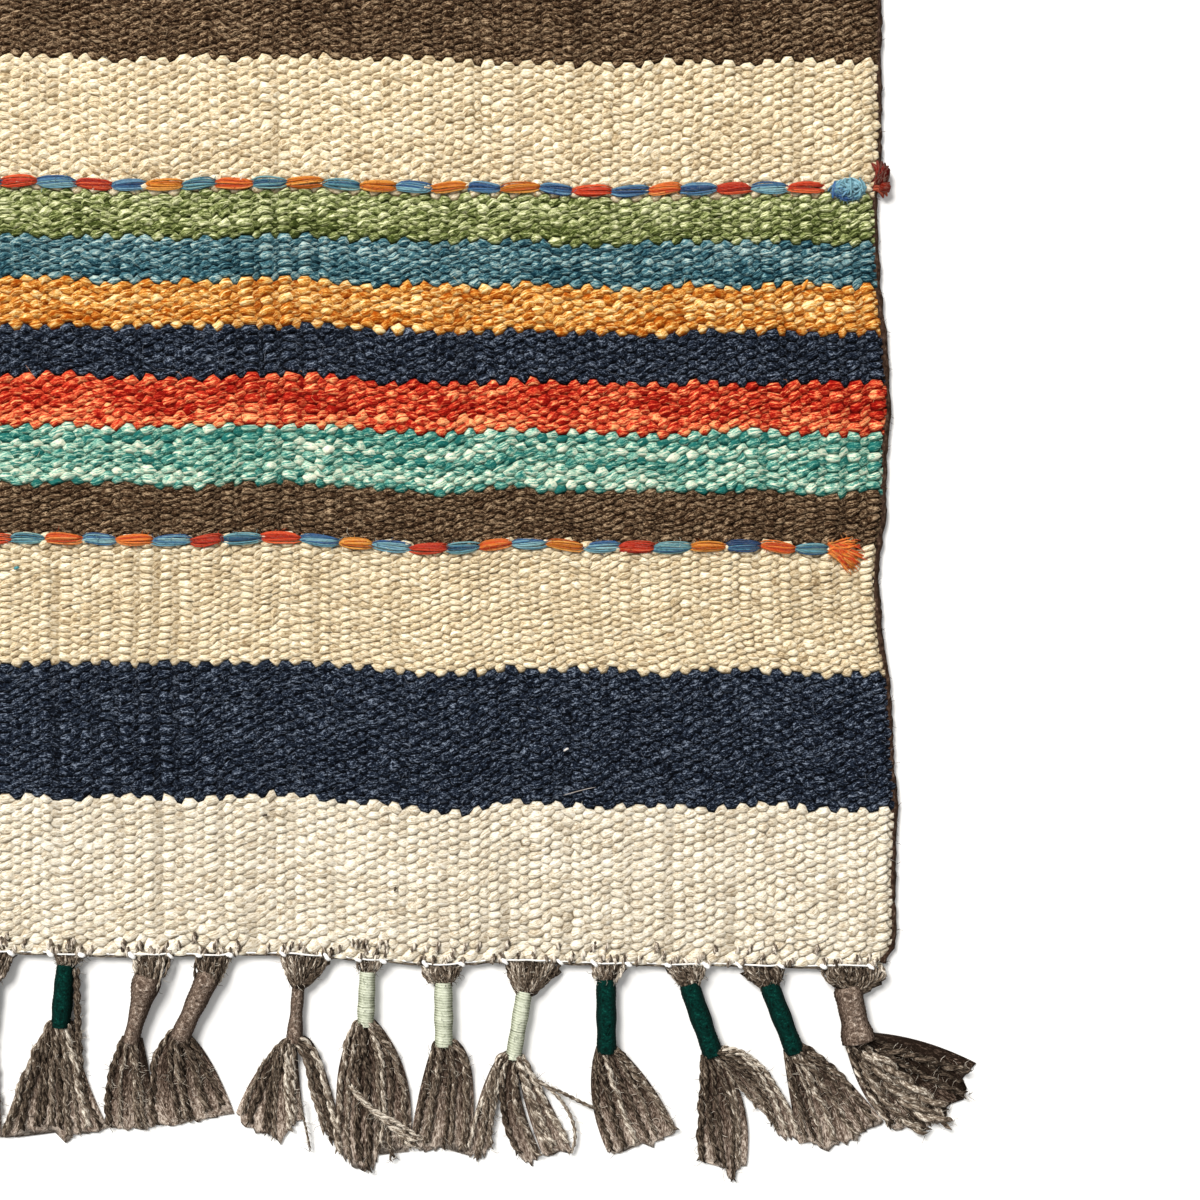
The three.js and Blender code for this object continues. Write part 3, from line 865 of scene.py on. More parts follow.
class Heap:
    """Collects tubes of yarn for one piece"""

    def __init__(self):
        self.points, self.quads, self.tris = [], [], []
        self.strand, self.shade, self.dye = [], [], []
        self.strips, self.count = [], 0

    def tube(self, path, radius, sides=5, shade=0.5, dye=(1, 1, 1), shape=None):
        """A closed tube. radius is a number, one per step, or two per step (across, up).
        shape changes the radius by step and side."""
        path = np.asarray(path, float)
        if np.ndim(radius) < 2:
            radius = np.asarray(radius, float).reshape(-1, 1)
        radius = np.broadcast_to(radius, (len(path), 2))
        _, side, top = directions(path)
        cos, sin = np.cos(side_angles(sides)), np.sin(side_angles(sides))
        over = cos[None, :, None] * radius[:, None, :1]
        up = sin[None, :, None] * radius[:, None, 1:]
        if shape is not None:
            over, up = over * shape[..., None], up * shape[..., None]
        rings = path[:, None, :] + side[:, None, :] * over + top[:, None, :] * up
        length = path_length(path)
        strand = np.stack(np.broadcast_arrays(length[:, None], cos[None, :], sin[None, :]), -1)
        around = 2 * np.pi * float(np.sqrt((radius ** 2).mean()))
        self.loft(rings, path[[0, -1]], length, strand, around, shade, dye)

    def loft(self, rings, tips, length, strand, around, shade, dye=(1, 1, 1)):
        """A closed skin over rings of points, with a point at either end"""
        steps, sides = rings.shape[:2]
        a, b, c, d = ring_quads(steps, sides)
        self.quads.append(np.stack([a, d, c, b], -1).reshape(-1, 4) + self.count)
        k = np.arange(sides)
        k_next, end = (k + 1) % sides, (steps - 1) * sides
        first, last = np.full(sides, steps * sides), np.full(sides, steps * sides + 1)
        self.tris.append(np.stack([first, k, k_next], 1) + self.count)
        self.tris.append(np.stack([last, end + k_next, end + k], 1) + self.count)
        self.points.append(np.concatenate([rings.reshape(-1, 3), tips]))
        self.strand.append(np.concatenate([strand.reshape(-1, 3), [[length[0], 0, 0], [length[-1], 0, 0]]]))
        shade = np.asarray(shade, float)
        shade = np.broadcast_to(shade[:, None] if shade.ndim == 1 else shade, (steps, sides))
        self.shade.append(np.concatenate([shade.ravel(), shade[[0, -1], sides // 2]]))
        self.dye.append(np.tile(np.asarray(dye, float), (steps * sides + 2, 1)))
        self.strips.append((steps, sides, length, around))
        self.count += steps * sides + 2

    def strip_spots(self, sizes, width, gap):
        """Where each strip starts, laid side by side in rows from the longest on, and the rows' height"""
        x = y = tall = 0.0
        spots = {}
        for k in sorted(range(len(sizes)), key=lambda k: -sizes[k][0]):
            long, around = sizes[k]
            if x + around > width:
                x, y, tall = 0.0, y + tall + gap, 0.0
            spots[k] = (x, y)
            x += around + gap
            tall = max(tall, long)
        return spots, y + tall

    def bake_map(self):
        """Every tube unrolled to a strip, and the strips laid side by side in rows"""
        def corners(*places):
            return np.stack([np.stack(np.broadcast_arrays(u, v), 1) for u, v in places], 1)

        sizes = [(max(s[2][-1], 0.3), max(s[3], 0.1)) for s in self.strips]
        area = sum(a * b for a, b in sizes)
        width = max(math.sqrt(area) * 1.05, max(b for _, b in sizes) * 1.1)
        gap = width / 300
        spots, height = self.strip_spots(sizes, width, gap)
        quads, tris = [], []
        for k, (steps, sides, length, around) in enumerate(self.strips):
            long, around = sizes[k]
            x0, y0 = spots[k]
            u = (x0 + around * np.arange(sides + 1) / sides) / (width + gap)
            v = (y0 + 0.03 * long + 0.94 * length / max(length[-1], 1e-6) * long) / (height + gap)
            i, j = (a.ravel() for a in np.meshgrid(np.arange(steps - 1), np.arange(sides), indexing="ij"))
            quads.append(corners((u[j], v[i]), (u[j], v[i + 1]), (u[j + 1], v[i + 1]), (u[j + 1], v[i])))
            centre = (u[:-1] + u[1:]) / 2
            low, high = y0 / (height + gap), (y0 + long) / (height + gap)
            tris.append(corners((centre, low), (u[:-1], v[0]), (u[1:], v[0])))
            tris.append(corners((centre, high), (u[1:], v[-1]), (u[:-1], v[-1])))
        uv = np.concatenate([np.concatenate(part).reshape(-1, 2) for part in (quads, tris)])
        low, high = uv.min(0), uv.max(0)
        return 0.003 + 0.994 * (uv - low) / (high - low)

    def piece(self, name, yarn, turned=False):
        """The tubes as one piece of a yarn, turned half round where it belongs to the back end"""
        points = np.concatenate(self.points)
        points[:, 2] = np.maximum(points[:, 2], 0.05)
        if turned:
            points[:, :2] *= -1
        faces = [np.concatenate(self.quads), np.concatenate(self.tris)]
        shade, strand, dye = (np.concatenate(part) for part in (self.shade, self.strand, self.dye))
        piece = mesh_piece(name, points, faces, YARNS[yarn], floats=[("shade", shade)],
                           vectors=[("strand", strand), ("dye", dye)], uvs=[("OFBake", self.bake_map())])
        return piece


def twisted(heap, path, width, shades, turn, sides=5, fray=0.0):
    """Two plies twisted round each other along a path, parting and thinning at its end"""
    length = path_length(path)
    _, side, top = directions(path)
    phase = random.uniform(0, 2 * np.pi)
    parting = smooth((length - (length[-1] - fray)) / fray) if fray else np.zeros(len(path))
    for ply in (0, 1):
        angle = 2 * np.pi * length / turn + phase + np.pi * ply
        out = (0.24 * width * (1 + 1.3 * parting))[:, None]
        centre = path + out * (np.cos(angle)[:, None] * side + np.sin(angle)[:, None] * top)
        ends = np.minimum(1, 0.35 + np.minimum(length, length[-1] - length) / 1.2)
        heap.tube(centre, 0.27 * width * ends * (1 - 0.55 * parting), sides, shades[ply])


def hairs(heap, around, count, reach, shade=(0.4, 0.9), thick=0.085, dye=(1, 1, 1)):
    """Loose fibres that start on the given points and curl away"""
    around = np.asarray(around)
    for _ in range(count):
        start = around[random.integers(len(around))] + random.normal(0, 0.3, 3)
        way = random.normal(0, 1, 3) * (1, 1, 0.35)
        way /= np.linalg.norm(way)
        bend = np.cross(way, [0, 0, 1.0]) * random.uniform(-0.8, 0.8)
        size = reach * random.uniform(0.5, 1.2)
        near, far = start + way * size * 0.4, start + (way + bend) * size * 0.9
        path = bezier([start, near, far, start + way * size], 3)
        path[:, 2] = np.maximum(path[:, 2], 0.3)
        heap.tube(path, thick * np.array([1, 1, 0.5]), 3, random.uniform(*shade), dye)


# Tassels
def plain_tassel(number, turn):
    """A tassel outside the seen ones, as the CAD has it"""
    def vary(usual, varies, phase):
        return usual + varies * math.sin(phase)

    like = SEEN_TASSELS[(number * 5 + turn) % len(SEEN_TASSELS)]
    lean = {1: 3.5, TASSELS: -3.5}.get(number, 0) + vary(0, 1.9, 2.4 * number + turn)
    at = SEEN_TASSELS[0]["at"] + (number - 1) * TASSEL_PITCH + vary(0, 0.6, 1.7 * number + turn)
    return dict(
        at=at, knot=min(like["knot"], 17), neck=like["neck"],
        top=(0.2 * lean, max(like["top"][1], 4)), end=(0.5 * lean, vary(24, 2, 3.1 * number + turn)),
        hem=(lean, vary(61, 3.5, 1.3 * number + 2 * turn)), spread=vary(19.4, 1, 2.1 * number + turn))


def thread_of(number):
    if number in (1, TASSELS):
        return "own"
    return TASSEL_GROUPS[(number - 2) // 3 % 3]


def through(start, middle, end, steps):
    """A smooth path through three places"""
    return bezier([start, 2 * middle - (start + end) / 2, end], steps)


def rounded(line):
    """A line with its corners cut twice"""
    line = np.asarray(line, float)
    for _ in range(2):
        cuts = np.stack([0.75 * line[:-1] + 0.25 * line[1:], 0.25 * line[:-1] + 0.75 * line[1:]], 1)
        line = np.concatenate([line[:1], cuts.reshape(-1, 2), line[-1:]])
    return line


def along_hem(hem, share):
    """The place on the hem's line at a share of its length"""
    hem = rounded(hem)
    length = path_length(hem)
    return np.array([np.interp(share * length[-1], length, hem[:, k]) for k in range(2)])


def plain_skirt(row):
    """The skirt of an unseen tassel: one fan as wide as the tassel's spread"""
    (over, down), half = row["hem"], row["spread"] / 2
    end_over, end_down = row["end"]
    middle = (end_over * 0.45 + over * 0.55, (end_down + down) / 2)
    hem = [(over + half * u, down + 1.6 * math.sin(5 * u + row["at"]) - 2.0 * u * u)
           for u in np.linspace(-1, 1, 6)]
    return [((middle[0] - 0.78 * half, middle[1]), (middle[0] + 0.78 * half, middle[1]), hem)]


def skirt_height(share, lateral):
    """How high the matted fibres lie, down and across a skirt"""
    return 0.9 + (1 - share) ** 1.4 * 3.2 * (1 - 0.75 * np.abs(2 * lateral - 1) ** 3)


# Windings: spacing of the turns, their height as a share of the radius, their tilt, how much wider
# the two ends are, their shade, and how much painted shade darkens the grooves and the sides
WRAPS = {
    "dark": (1.2, 0.015, 0.0, (-0.08, -0.08), 0.40, 0.0, 0.32),
    "pale": (0.85, 0.035, 0.06, (-0.05, -0.05), 0.64, 0.13, 0.42),
    "own": (1.25, 0.02, 0.30, (0.25, 0.15), 0.43, 0.0, 0.32),
}


class Tassel:
    """A tassel's knot, winding and skirt, made of strands, thread and matted fibres"""

    def __init__(self, number, row, seen):
        self.row, self.seen, self.thread = row, seen, thread_of(number)
        self.fans = SKIRTS.get(number) if seen else None
        self.strays = STRAYS.get(number, []) if seen else []
        knot_x = HALF_WIDTH - row["at"]
        self.origin = np.array([knot_x, -LENGTH / 2, 0.0])
        self.start = np.array([knot_x, float(front_end(knot_x)) - 0.2, 0.0])
        self.neck_top = self.origin + (row["top"][0], -row["top"][1], 0)
        self.neck_end = self.origin + (row["end"][0], -row["end"][1], 0)
        self.neck_length = np.linalg.norm(self.neck_end - self.neck_top)
        self.way = (self.neck_end - self.neck_top) / self.neck_length
        self.half, self.neck = row["knot"] / 2, row["neck"] / 2
        self.flare = row.get("flare", (0.0, 0.0))
        self.bowl, self.merge, self.light = (row.get(key, 0.0) for key in ("bowl", "merge", "light"))
        self.dark_from = row.get("dark_from", 1.0)
        self.strands, self.mat, self.wound = Heap(), Heap(), Heap()

    def spine(self, fan, lateral, steps):
        """A strand's way down a fan, seen from above. lateral runs across the fan from 0 to 1."""
        left, right, hem, low, high = fan
        over = np.array([-self.way[1], self.way[0], 0])
        root = self.neck_end - self.way * 0.8
        root = root + over * (low + (high - low) * lateral - 0.5) * self.row["neck"] * 0.94
        middle = np.array(left) + (np.array(right) - left) * lateral
        end = along_hem(hem, lateral)
        return through(root[:2], self.origin[:2] + (middle[0], -middle[1]),
                       self.origin[:2] + (end[0], -end[1]), steps)

    def fill_fan(self, fan):
        """The matted fibres that fill the space between strands"""
        steps, wide = (19, 25) if self.seen else (7, 6)
        laterals, share = np.linspace(0, 1, wide), np.linspace(0, 1, steps)
        sheet = np.stack([self.spine(fan, lateral, steps) for lateral in laterals], 1)
        if self.seen:
            sheet[-1] -= random.uniform(0.15, 1.1, (wide, 1)) * (sheet[-1] - sheet[-2])
        high = skirt_height(share[:, None], laterals[None, :])
        high = high + random.normal(0, 0.14 if self.seen else 0.05, (steps, wide))
        high = high * (1 - 0.4 * smooth((share - 0.9) / 0.1)[:, None])
        top = np.concatenate([sheet, high[..., None]], 2)
        bottom = np.concatenate([sheet, np.full((steps, wide, 1), 0.15)], 2)[:, ::-1]
        rings = np.concatenate([top, bottom], 1)[:, ::-1]
        length = np.linspace(0, np.linalg.norm(sheet[-1, wide // 2] - sheet[0, wide // 2]), steps)
        width = np.linalg.norm(sheet[:, -1] - sheet[:, 0], axis=1)
        across = np.concatenate([laterals, laterals[::-1]])[::-1] * width.max() * 1.3
        strand = np.stack(np.broadcast_arrays(length[:, None], across[None, :], np.zeros((1, 1))), -1)
        # Darker towards the neck: painted shade between the packed strands, lighter at the hem
        shade = 0.06 + 0.62 * share[:, None] ** 2 + 0.10 * np.sin(laterals * 23 + self.row["at"])[None, :]
        dark = smooth((laterals - self.dark_from) / 0.25)[None, :]
        shade = shade - (0.18 + 0.46 * share[:, None]) * dark
        shade = np.concatenate([shade, shade[:, ::-1]], 1)[:, ::-1]
        self.mat.loft(rings, rings[[0, -1]].mean(1), length, strand, 2 * width.mean(), shade)

    def skirt_strand(self, fan, lateral):
        """One two-ply strand of a fan, and the points of its path away from the neck"""
        reach = path_length(self.spine(fan, lateral, 24))[-1]
        samples = max(8, int(reach / (1.2 if self.seen else 2.8)))
        flat = self.spine(fan, lateral, samples)
        share = np.linspace(0, 1, samples)
        length = share * reach
        path = np.concatenate([flat, skirt_height(share, lateral)[:, None] + 0.35], 1)
        _, side, _ = directions(path)
        wiggle = random.uniform(0.1, 0.42) * np.sin(length / random.uniform(1.6, 3.2) + random.uniform(0, 6))
        wiggle += random.uniform(0.3, 1.1) * np.sin(length / random.uniform(8, 14) + random.uniform(0, 6))
        path = path + side * (wiggle * smooth(length / 12))[:, None]
        path[:, 2] += random.uniform(-0.2, 0.5)
        path = path[: max(6, int(random.uniform(0.94, 1.001) * samples))]
        light = random.choice([0.02, -0.14, 0.09, 0.20], p=[0.30, 0.34, 0.20, 0.16]) + self.light
        light -= 0.40 * float(smooth((lateral - self.dark_from) / 0.2))
        apart = random.uniform(0.04, 0.14) + max(0.0, 0.3 * light)
        thick = random.uniform(1.7, 3.0)
        twisted(self.strands, path, thick, (0.30 + light, 0.30 + light + apart),
                thick * random.uniform(2.6, 3.6), 5 if self.seen else 3, fray=random.uniform(0.5, 2))
        return path[len(path) // 4:]

    def stray(self, thick, shade, points):
        """A strand outside the fans, along points beside and beyond the knot's middle"""
        path = bezier([(*(self.origin[:2] + (x, -y)), 3.4) for x, y in points], 26)
        path[:, 2] = 3.6 - 1.8 * smooth(np.linspace(0, 1, 26))
        twisted(self.strands, path, thick, (shade - 0.04, shade + 0.08), 3.4 * thick, 8 if thick > 2.5 else 5,
                fray=2.5)
        if thick > 2:
            hairs(self.strands, path[8:], 36, 3.2, (shade, 1.0), 0.08)
        return path

    def skirt(self):
        """Strands that leave the neck, spread like a bell and end unevenly, over matted fibres"""
        cloud = []
        fans = self.fans or plain_skirt(self.row)
        for number, (left, right, hem) in enumerate(fans):
            low = max(0, number / len(fans) - 0.08)
            high = min(1, (number + 1) / len(fans) + 0.08)
            fan = (left, right, hem, low, high)
            self.fill_fan(fan)
            count = max(2, round(path_length(np.asarray(hem, float))[-1] / (4.4 if self.seen else 4.6)))
            for k in range(count):
                lateral = (k + 0.5) / count + random.normal(0, 0.25 / count)
                lateral = float(np.clip(lateral, 0.02, 0.98))
                if lateral <= self.dark_from + 0.1 or k % 3 == 0:
                    cloud.append(self.skirt_strand(fan, lateral))
        cloud += [self.stray(*stray) for stray in self.strays]
        hairs(self.strands, np.concatenate(cloud), 200 if self.seen else 8, 3.4, (0.1, 1.0), 0.08)

    def knot_body(self):
        """The filled middle of the knot, and the points of its upper side"""
        steps, sides = 9, 18 if self.seen else 10
        share = np.linspace(0, 1, steps)
        body = self.start + (self.neck_top + self.knot_way * 0.8 - self.start) * share[:, None]
        body[:, 2] = np.interp(share, [0, 0.4, 1], [1.7, 2.6, 2.9])
        self.skew = random.uniform(-0.12, 0.12)
        wide = np.interp(share, [0, 0.2, 0.5, 0.8, 1], [0.96, 0.88, 0.66, 0.46, 0.38])
        wide = (wide + self.bowl * np.interp(share, [0, 0.3, 0.7, 1], [0.12, 0.24, 0.24, 0.08])) * self.half
        narrow = [self.half * 1.4, self.half * 0.2 + self.neck, self.neck * (0.95 + self.flare[0])]
        wide = np.minimum(wide, np.interp(share, [0.6, 0.85, 1], narrow))
        wide = np.maximum(wide, self.neck * 0.92 * share)
        high = np.interp(share, [0, 0.4, 0.8, 1], [1.5, 2.4, 2.3, 1.9])
        self.strands.tube(body, np.stack([wide, high], 1), sides, 0.22,
                          shape=1 + random.normal(0, 0.06, (steps, sides)))
        return body + (0, 0, 1.5)

    def knot_strand(self, u, layer):
        """A strand from the weave over the knot to the neck. u runs across the knot from -1 to 1."""
        rise = math.sqrt(max(0.05, 1 - u * u))
        begin = self.start + (u * self.half, random.uniform(-0.6, 1.2), 1.8 + 1.2 * rise + 0.8 * layer)
        swing = random.normal(0, 0.16)
        aside = (u * (0.80 + 0.30 * self.bowl) + swing + self.skew) * self.half
        over = self.start + self.knot_way * self.knot_depth * random.uniform(0.35, 0.7)
        over = over + (aside, 0, 2.0 + 3.0 * rise + 0.9 * layer)
        reach = random.uniform(0.7, 1.06 + 2.0 * self.merge)
        lift = 5.0 * self.merge * float(reach > 1)
        end = self.start + (self.neck_top - self.start) * reach
        end += ((u * 0.8 + swing) * self.neck * (1 + 0.6 * self.flare[0]), 0, 2.4 + (2.0 + lift) * rise)
        path = bezier([begin, over, end], 10 if self.seen else 5)
        # Darker in the knot's middle: painted shade where the strands dive in
        light = random.normal(0.0, 0.12) - 0.08 + 0.26 * abs(u) + 0.7 * self.light
        twisted(self.strands, path, random.uniform(1.1, 2.0), (0.24 + light, 0.34 + light),
                random.uniform(3.5, 7), 4 if self.seen else 3)
        return path

    def knot(self):
        """The warps drawn together: a fuzzy tuft that narrows to the neck"""
        self.knot_depth = np.linalg.norm(self.neck_top - self.start)
        self.knot_way = (self.neck_top - self.start) / self.knot_depth
        cloud = [self.knot_body()]
        count = round(self.row["knot"] * (0.75 if self.seen else 0.5)) + 3
        for layer in range(2 if self.seen else 1):
            for k in range(count):
                u = (k + 0.5) / count * 2 - 1 + random.normal(0, 0.08)
                cloud.append(self.knot_strand(float(np.clip(u, -1, 1)), layer))
        hairs(self.strands, np.concatenate(cloud), 170 if self.seen else 6, 2.4, (0.05, 1.0))

    def winding_shade(self, share, angle, turns):
        """Painted shade at the sides and in the grooves. Pale thread also changes by turn, and has a gap, a
        ring of painted shade between turns.
        """
        *_, usual, groove_shade, side_shade = WRAPS[self.thread]
        shade = usual + groove_shade * np.cos(2 * np.pi * turns)
        if self.thread == "pale":
            by_turn = random.normal(0.01, 0.05, int(turns.max()) + 4)
            gap = abs(share - random.uniform(0.3, 0.7)) < 0.6 / len(share)
            shade = shade + by_turn[np.floor(turns).astype(int) + 2] - 0.5 * gap[:, None]
        return shade - side_shade * smooth((abs(np.cos(angle)) - 0.55) / 0.4)

    def winding(self):
        """Thread wound round the neck: its turns lie slanting, side by side"""
        thread, at = self.thread, self.row["at"]
        pitch, ridge, tilt, flare, *_ = WRAPS[thread]
        flare = self.row.get("flare", flare)
        length = self.neck_length + 1.4
        steps = int(length / (pitch / 4 if thread == "pale" else pitch / 2)) if self.seen else 14
        sides = 14 if self.seen else 8
        height = min(self.row["neck"], 6.4) / 2
        share = np.linspace(0, 1, steps)
        path = self.neck_top - self.way * 0.7 + self.way * length * share[:, None] + (0, 0, height)
        angle = side_angles(sides)
        turns = share[:, None] * length / pitch - angle[None, :] / (2 * np.pi)
        turns = turns + tilt * np.cos(angle)[None, :] * 3
        swell = 1 + 0.03 * np.sin(share * 7 + at)[:, None] + 0.03 * np.cos(share * 17 + 2 * at)[:, None]
        shape = swell * (1 + ridge * np.cos(2 * np.pi * turns) * (1 if self.seen else 0))
        near = 1.4 if thread == "own" else 9
        ends = 0.95 + flare[0] * (1 - smooth(share * near))
        ends = ends + flare[1] * (1 - smooth((1 - share) * near * 1.2))
        if thread == "own":
            ends = ends * (0.90 + 0.10 * smooth(share * 10))
        radius = np.stack([self.neck * 0.97 * ends, height * 0.97 * ends], 1)
        self.wound.tube(path, radius, sides, self.winding_shade(share, angle, turns), shape=shape)
        if self.seen:
            over = path + np.stack([np.zeros(steps), np.zeros(steps), radius[:, 1] * 0.9], 1)
            hairs(self.wound, over, 110 if thread == "own" else 34, 2.0, (0.2, 0.9), 0.07)

    def pieces(self, name, turned):
        self.skirt()
        self.knot()
        self.winding()
        yarn = self.strands.piece(name + "_strands", "yarn", turned)
        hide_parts(name)
        return [yarn, self.mat.piece(name + "_fibre", "mat", turned),
                self.wound.piece(name + "_winding", self.thread, turned)]


# Rows of dashes
DASH_LENGTH, DASH_SPREAD = 11.8, 1.95
# The dyes of a dash from its upper to its lower edge
DYES = {
    "flame": [(214, 82, 36), (196, 52, 18), (178, 34, 10), (206, 64, 24), (224, 100, 50)],
    "red": [(190, 56, 26), (168, 30, 10), (186, 44, 18), (150, 20, 6), (206, 78, 40)],
    "orange": [(218, 112, 38), (204, 80, 20), (222, 118, 42), (190, 60, 14), (226, 138, 70)],
    "gold": [(214, 136, 42), (192, 98, 14), (206, 120, 28), (180, 84, 8), (222, 154, 68)],
    "blue": [(86, 132, 162), (36, 82, 130), (26, 66, 112), (54, 104, 148), (102, 150, 178)],
    "sky": [(42, 90, 138), (62, 114, 152), (118, 168, 182), (140, 186, 192), (102, 156, 174)],
    "sea": [(110, 160, 168), (58, 116, 138), (28, 78, 112), (82, 138, 154), (122, 170, 170)],
    "deep": [(54, 104, 138), (18, 56, 98), (22, 62, 106), (14, 46, 84), (74, 128, 156)],
}
WARM, COLD = ("flame", "red", "orange", "gold"), ("blue", "sky", "sea", "deep")
# The dashes nearest the right side, and where they start
FIRST_DASHES = {1: (20.7, ("sea", "orange", "deep", "gold", "sea", "red")),
                2: (22.3, ("flame", "sky", "red", "blue", "orange", "blue", "flame"))}
# How the thickness of a bit of yarn changes along it
POINTED = np.array([0.5, 0.9, 1, 1, 1, 1, 0.9, 0.5])
ONE_END = np.array([1, 1, 1, 1, 1, 1, 0.85, 0.5])
THIN_END = np.array([1, 1, 1, 1, 1, 1, 0.8, 0.5])
BOTH_ENDS = np.array([0.6, 1, 1, 1, 1, 0.6])
LOBE_CORE = np.array([0.7, 1, 1, 0.9, 0.7, 0.4])


def dash(heap, number, centre_x, size, along, dyes):
    """A bundle of dyed yarns over the weave, pinched at both ends, where it dives in"""
    seen = centre_x > FINE_LEFT and along < FINE_FAR
    yarns, steps = (10, 7) if seen else (3, 4)
    slope = random.uniform(-0.02, 0.06)
    twist = random.uniform(-0.5, 0.6)
    s = np.linspace(-1, 1, steps)
    bow = np.clip(1 - s ** 2, 0, 1) ** 0.6
    cloud = []
    for yarn in range(yarns):
        v = 1 - (yarn + 0.5) / yarns * 2
        x = centre_x + s * size / 2 * random.uniform(1.0, 1.08) + random.normal(0, 0.15)
        swirl = 0.35 * s * math.sin(3 * v + number) + twist * s * bow
        spread = DASH_SPREAD * v * (0.36 + 0.64 * bow) + swirl + random.normal(0, 0.15)
        over = np.clip(x + HALF_WIDTH, 0, SURFACE_WIDTH)
        path = surface(over, along + spread + slope * (x - centre_x), 0.4)
        path[:, 0] = x
        path[:, 2] += 0.75 + bow * (0.9 * math.sqrt(1 - 0.85 * v * v) + random.uniform(0, 0.3))
        dye = dyes[int((1 - v) / 2 * 4.99)] if random.random() < 0.6 else dyes[random.integers(5)]
        heap.tube(path, random.uniform(0.27, 0.40) * (0.60 + 0.40 * bow), 4, 0.3 + 0.04 * yarn, linear(dye))
        cloud.append(path)
    if seen:
        for dye in (dyes[0], dyes[3], dyes[4]):
            hairs(heap, np.concatenate(cloud), 11, 1.7, (0.5, 0.9), dye=linear(dye))


def dash_row(number, along):
    """Dashes laid end to end over the rug's width, by turns warm and cold, and the row's tufts"""
    heap = Heap()
    at, first = FIRST_DASHES.get(number, (4.0, ("blue",)))
    k = 0
    while at < 2 * HALF_WIDTH - 6:
        size = DASH_LENGTH * random.uniform(0.90, 1.12)
        warm = (k + (first[0] in WARM)) % 2
        colour = first[k] if k < len(first) else random.choice(WARM if warm else COLD)
        dash(heap, k, HALF_WIDTH - at - size / 2, size, along, DYES[colour])
        at += size
        k += 1
    for tuft in TUFTS.get(number, []):
        tuft(heap, along)
    return heap.piece(f"dash_row_{number}", "dyed")


def tuft_place(x, along, z):
    """A place near the right side at the given height, whose place along the rug follows the weave inside the
    side
    """
    return np.array([x, surface_y(x, along) if x < HALF_WIDTH - 2 else along - LENGTH / 2, z])


LOOP_WIDE, LOOP_HIGH = 6.8, 4.0


def loop_tuft(heap, along):
    """The upper row's end: a light blue loop of loose yarn, dark blue at its lower left"""
    middle = tuft_place(285.8, along - 0.3, 4.2)
    cloud = []
    for _ in range(130):
        angle = random.uniform(0, 2 * np.pi)
        out = math.sqrt(random.uniform(0.02, 1.0))
        x, y = LOOP_WIDE * out * math.cos(angle), LOOP_HIGH * out * math.sin(angle)
        at = np.array([x, y, 2.0 * (1 - out) + random.uniform(0, 0.8)])
        way = math.atan2(LOOP_HIGH * math.cos(angle), -LOOP_WIDE * math.sin(angle))
        way += random.normal(0, 0.2 + 1.0 * (1 - out) ** 2)
        step = np.array([math.cos(way), math.sin(way), 0]) * random.uniform(1.5, 2.9)
        inward = np.array([-x, -y, 0]) * random.uniform(0.16, 0.40)
        path = middle + bezier([at - step + inward, at, at + step + inward], 6)
        low = float(smooth((-math.cos(angle - 0.85) - 0.15) / 0.5)) * out
        light = np.array([122, 176, 194]) + random.integers(-34, 30)
        dark = np.array([22, 74, 140]) + random.integers(-14, 14)
        dye = linear(light * (1 - low) + dark * low)
        heap.tube(path, random.uniform(0.22, 0.40) * BOTH_ENDS, 5, 0.4, dye)
        cloud.append(path)
    hairs(heap, np.concatenate(cloud), 190, 1.9, dye=linear((140, 184, 196)))


# The lobes of the red tuft: their direction, length and dyes
RED_LOBES = [((0.42, 0.91), 8.0, [(88, 10, 5), (66, 7, 3), (112, 18, 8)]),
             ((0.96, -0.28), 4.6, [(138, 46, 22), (112, 26, 12), (158, 62, 32)])]


def red_tuft(heap, along):
    """Dark red lobes of the same row, outside the right side"""
    for way, length, dyes in RED_LOBES:
        root = tuft_place(296.6, along + 0.8, 3.4)
        core = root + length * np.linspace(0, 0.8, 6)[:, None] * (way[0], way[1], 0.06)
        heap.tube(core, 2.1 * LOBE_CORE, 8, 0.4, linear(dyes[1]))
        cloud = []
        for _ in range(38):
            start = tuft_place(294.8 + random.uniform(-0.8, 0.8), along + 0.8 + random.uniform(-1, 1.2), 2.6)
            size = length * random.uniform(0.8, 1.0)
            bend = random.normal(0, 0.22)
            x, y = way[0] * size - way[1] * bend * 5, way[1] * size + way[0] * bend * 5
            end = start + (x, y, random.uniform(-1, 1))
            middle = (start + end) / 2 + (way[1] * bend * 4 + 0.8, 0, 1.8)
            path = bezier([start, middle, end], 8)
            heap.tube(path, random.uniform(0.45, 0.8) * ONE_END, 5, 0.4, linear(dyes[random.integers(3)]))
            cloud.append(path)
        hairs(heap, np.concatenate(cloud), 26, 1.8, (0.4, 0.8), 0.08, linear(dyes[2]))


# The lobes of the orange tuft: where they end, from its root, how wide they are, and their strands
ORANGE_LOBES = [((9.6, 1.2), 1.2, 44), ((10.8, -3.4), 1.1, 44), ((8.4, -7.0), 1.6, 66)]
ORANGES = [(230, 118, 36), (216, 78, 20), (238, 150, 70), (204, 58, 12), (234, 126, 44), (206, 124, 44)]


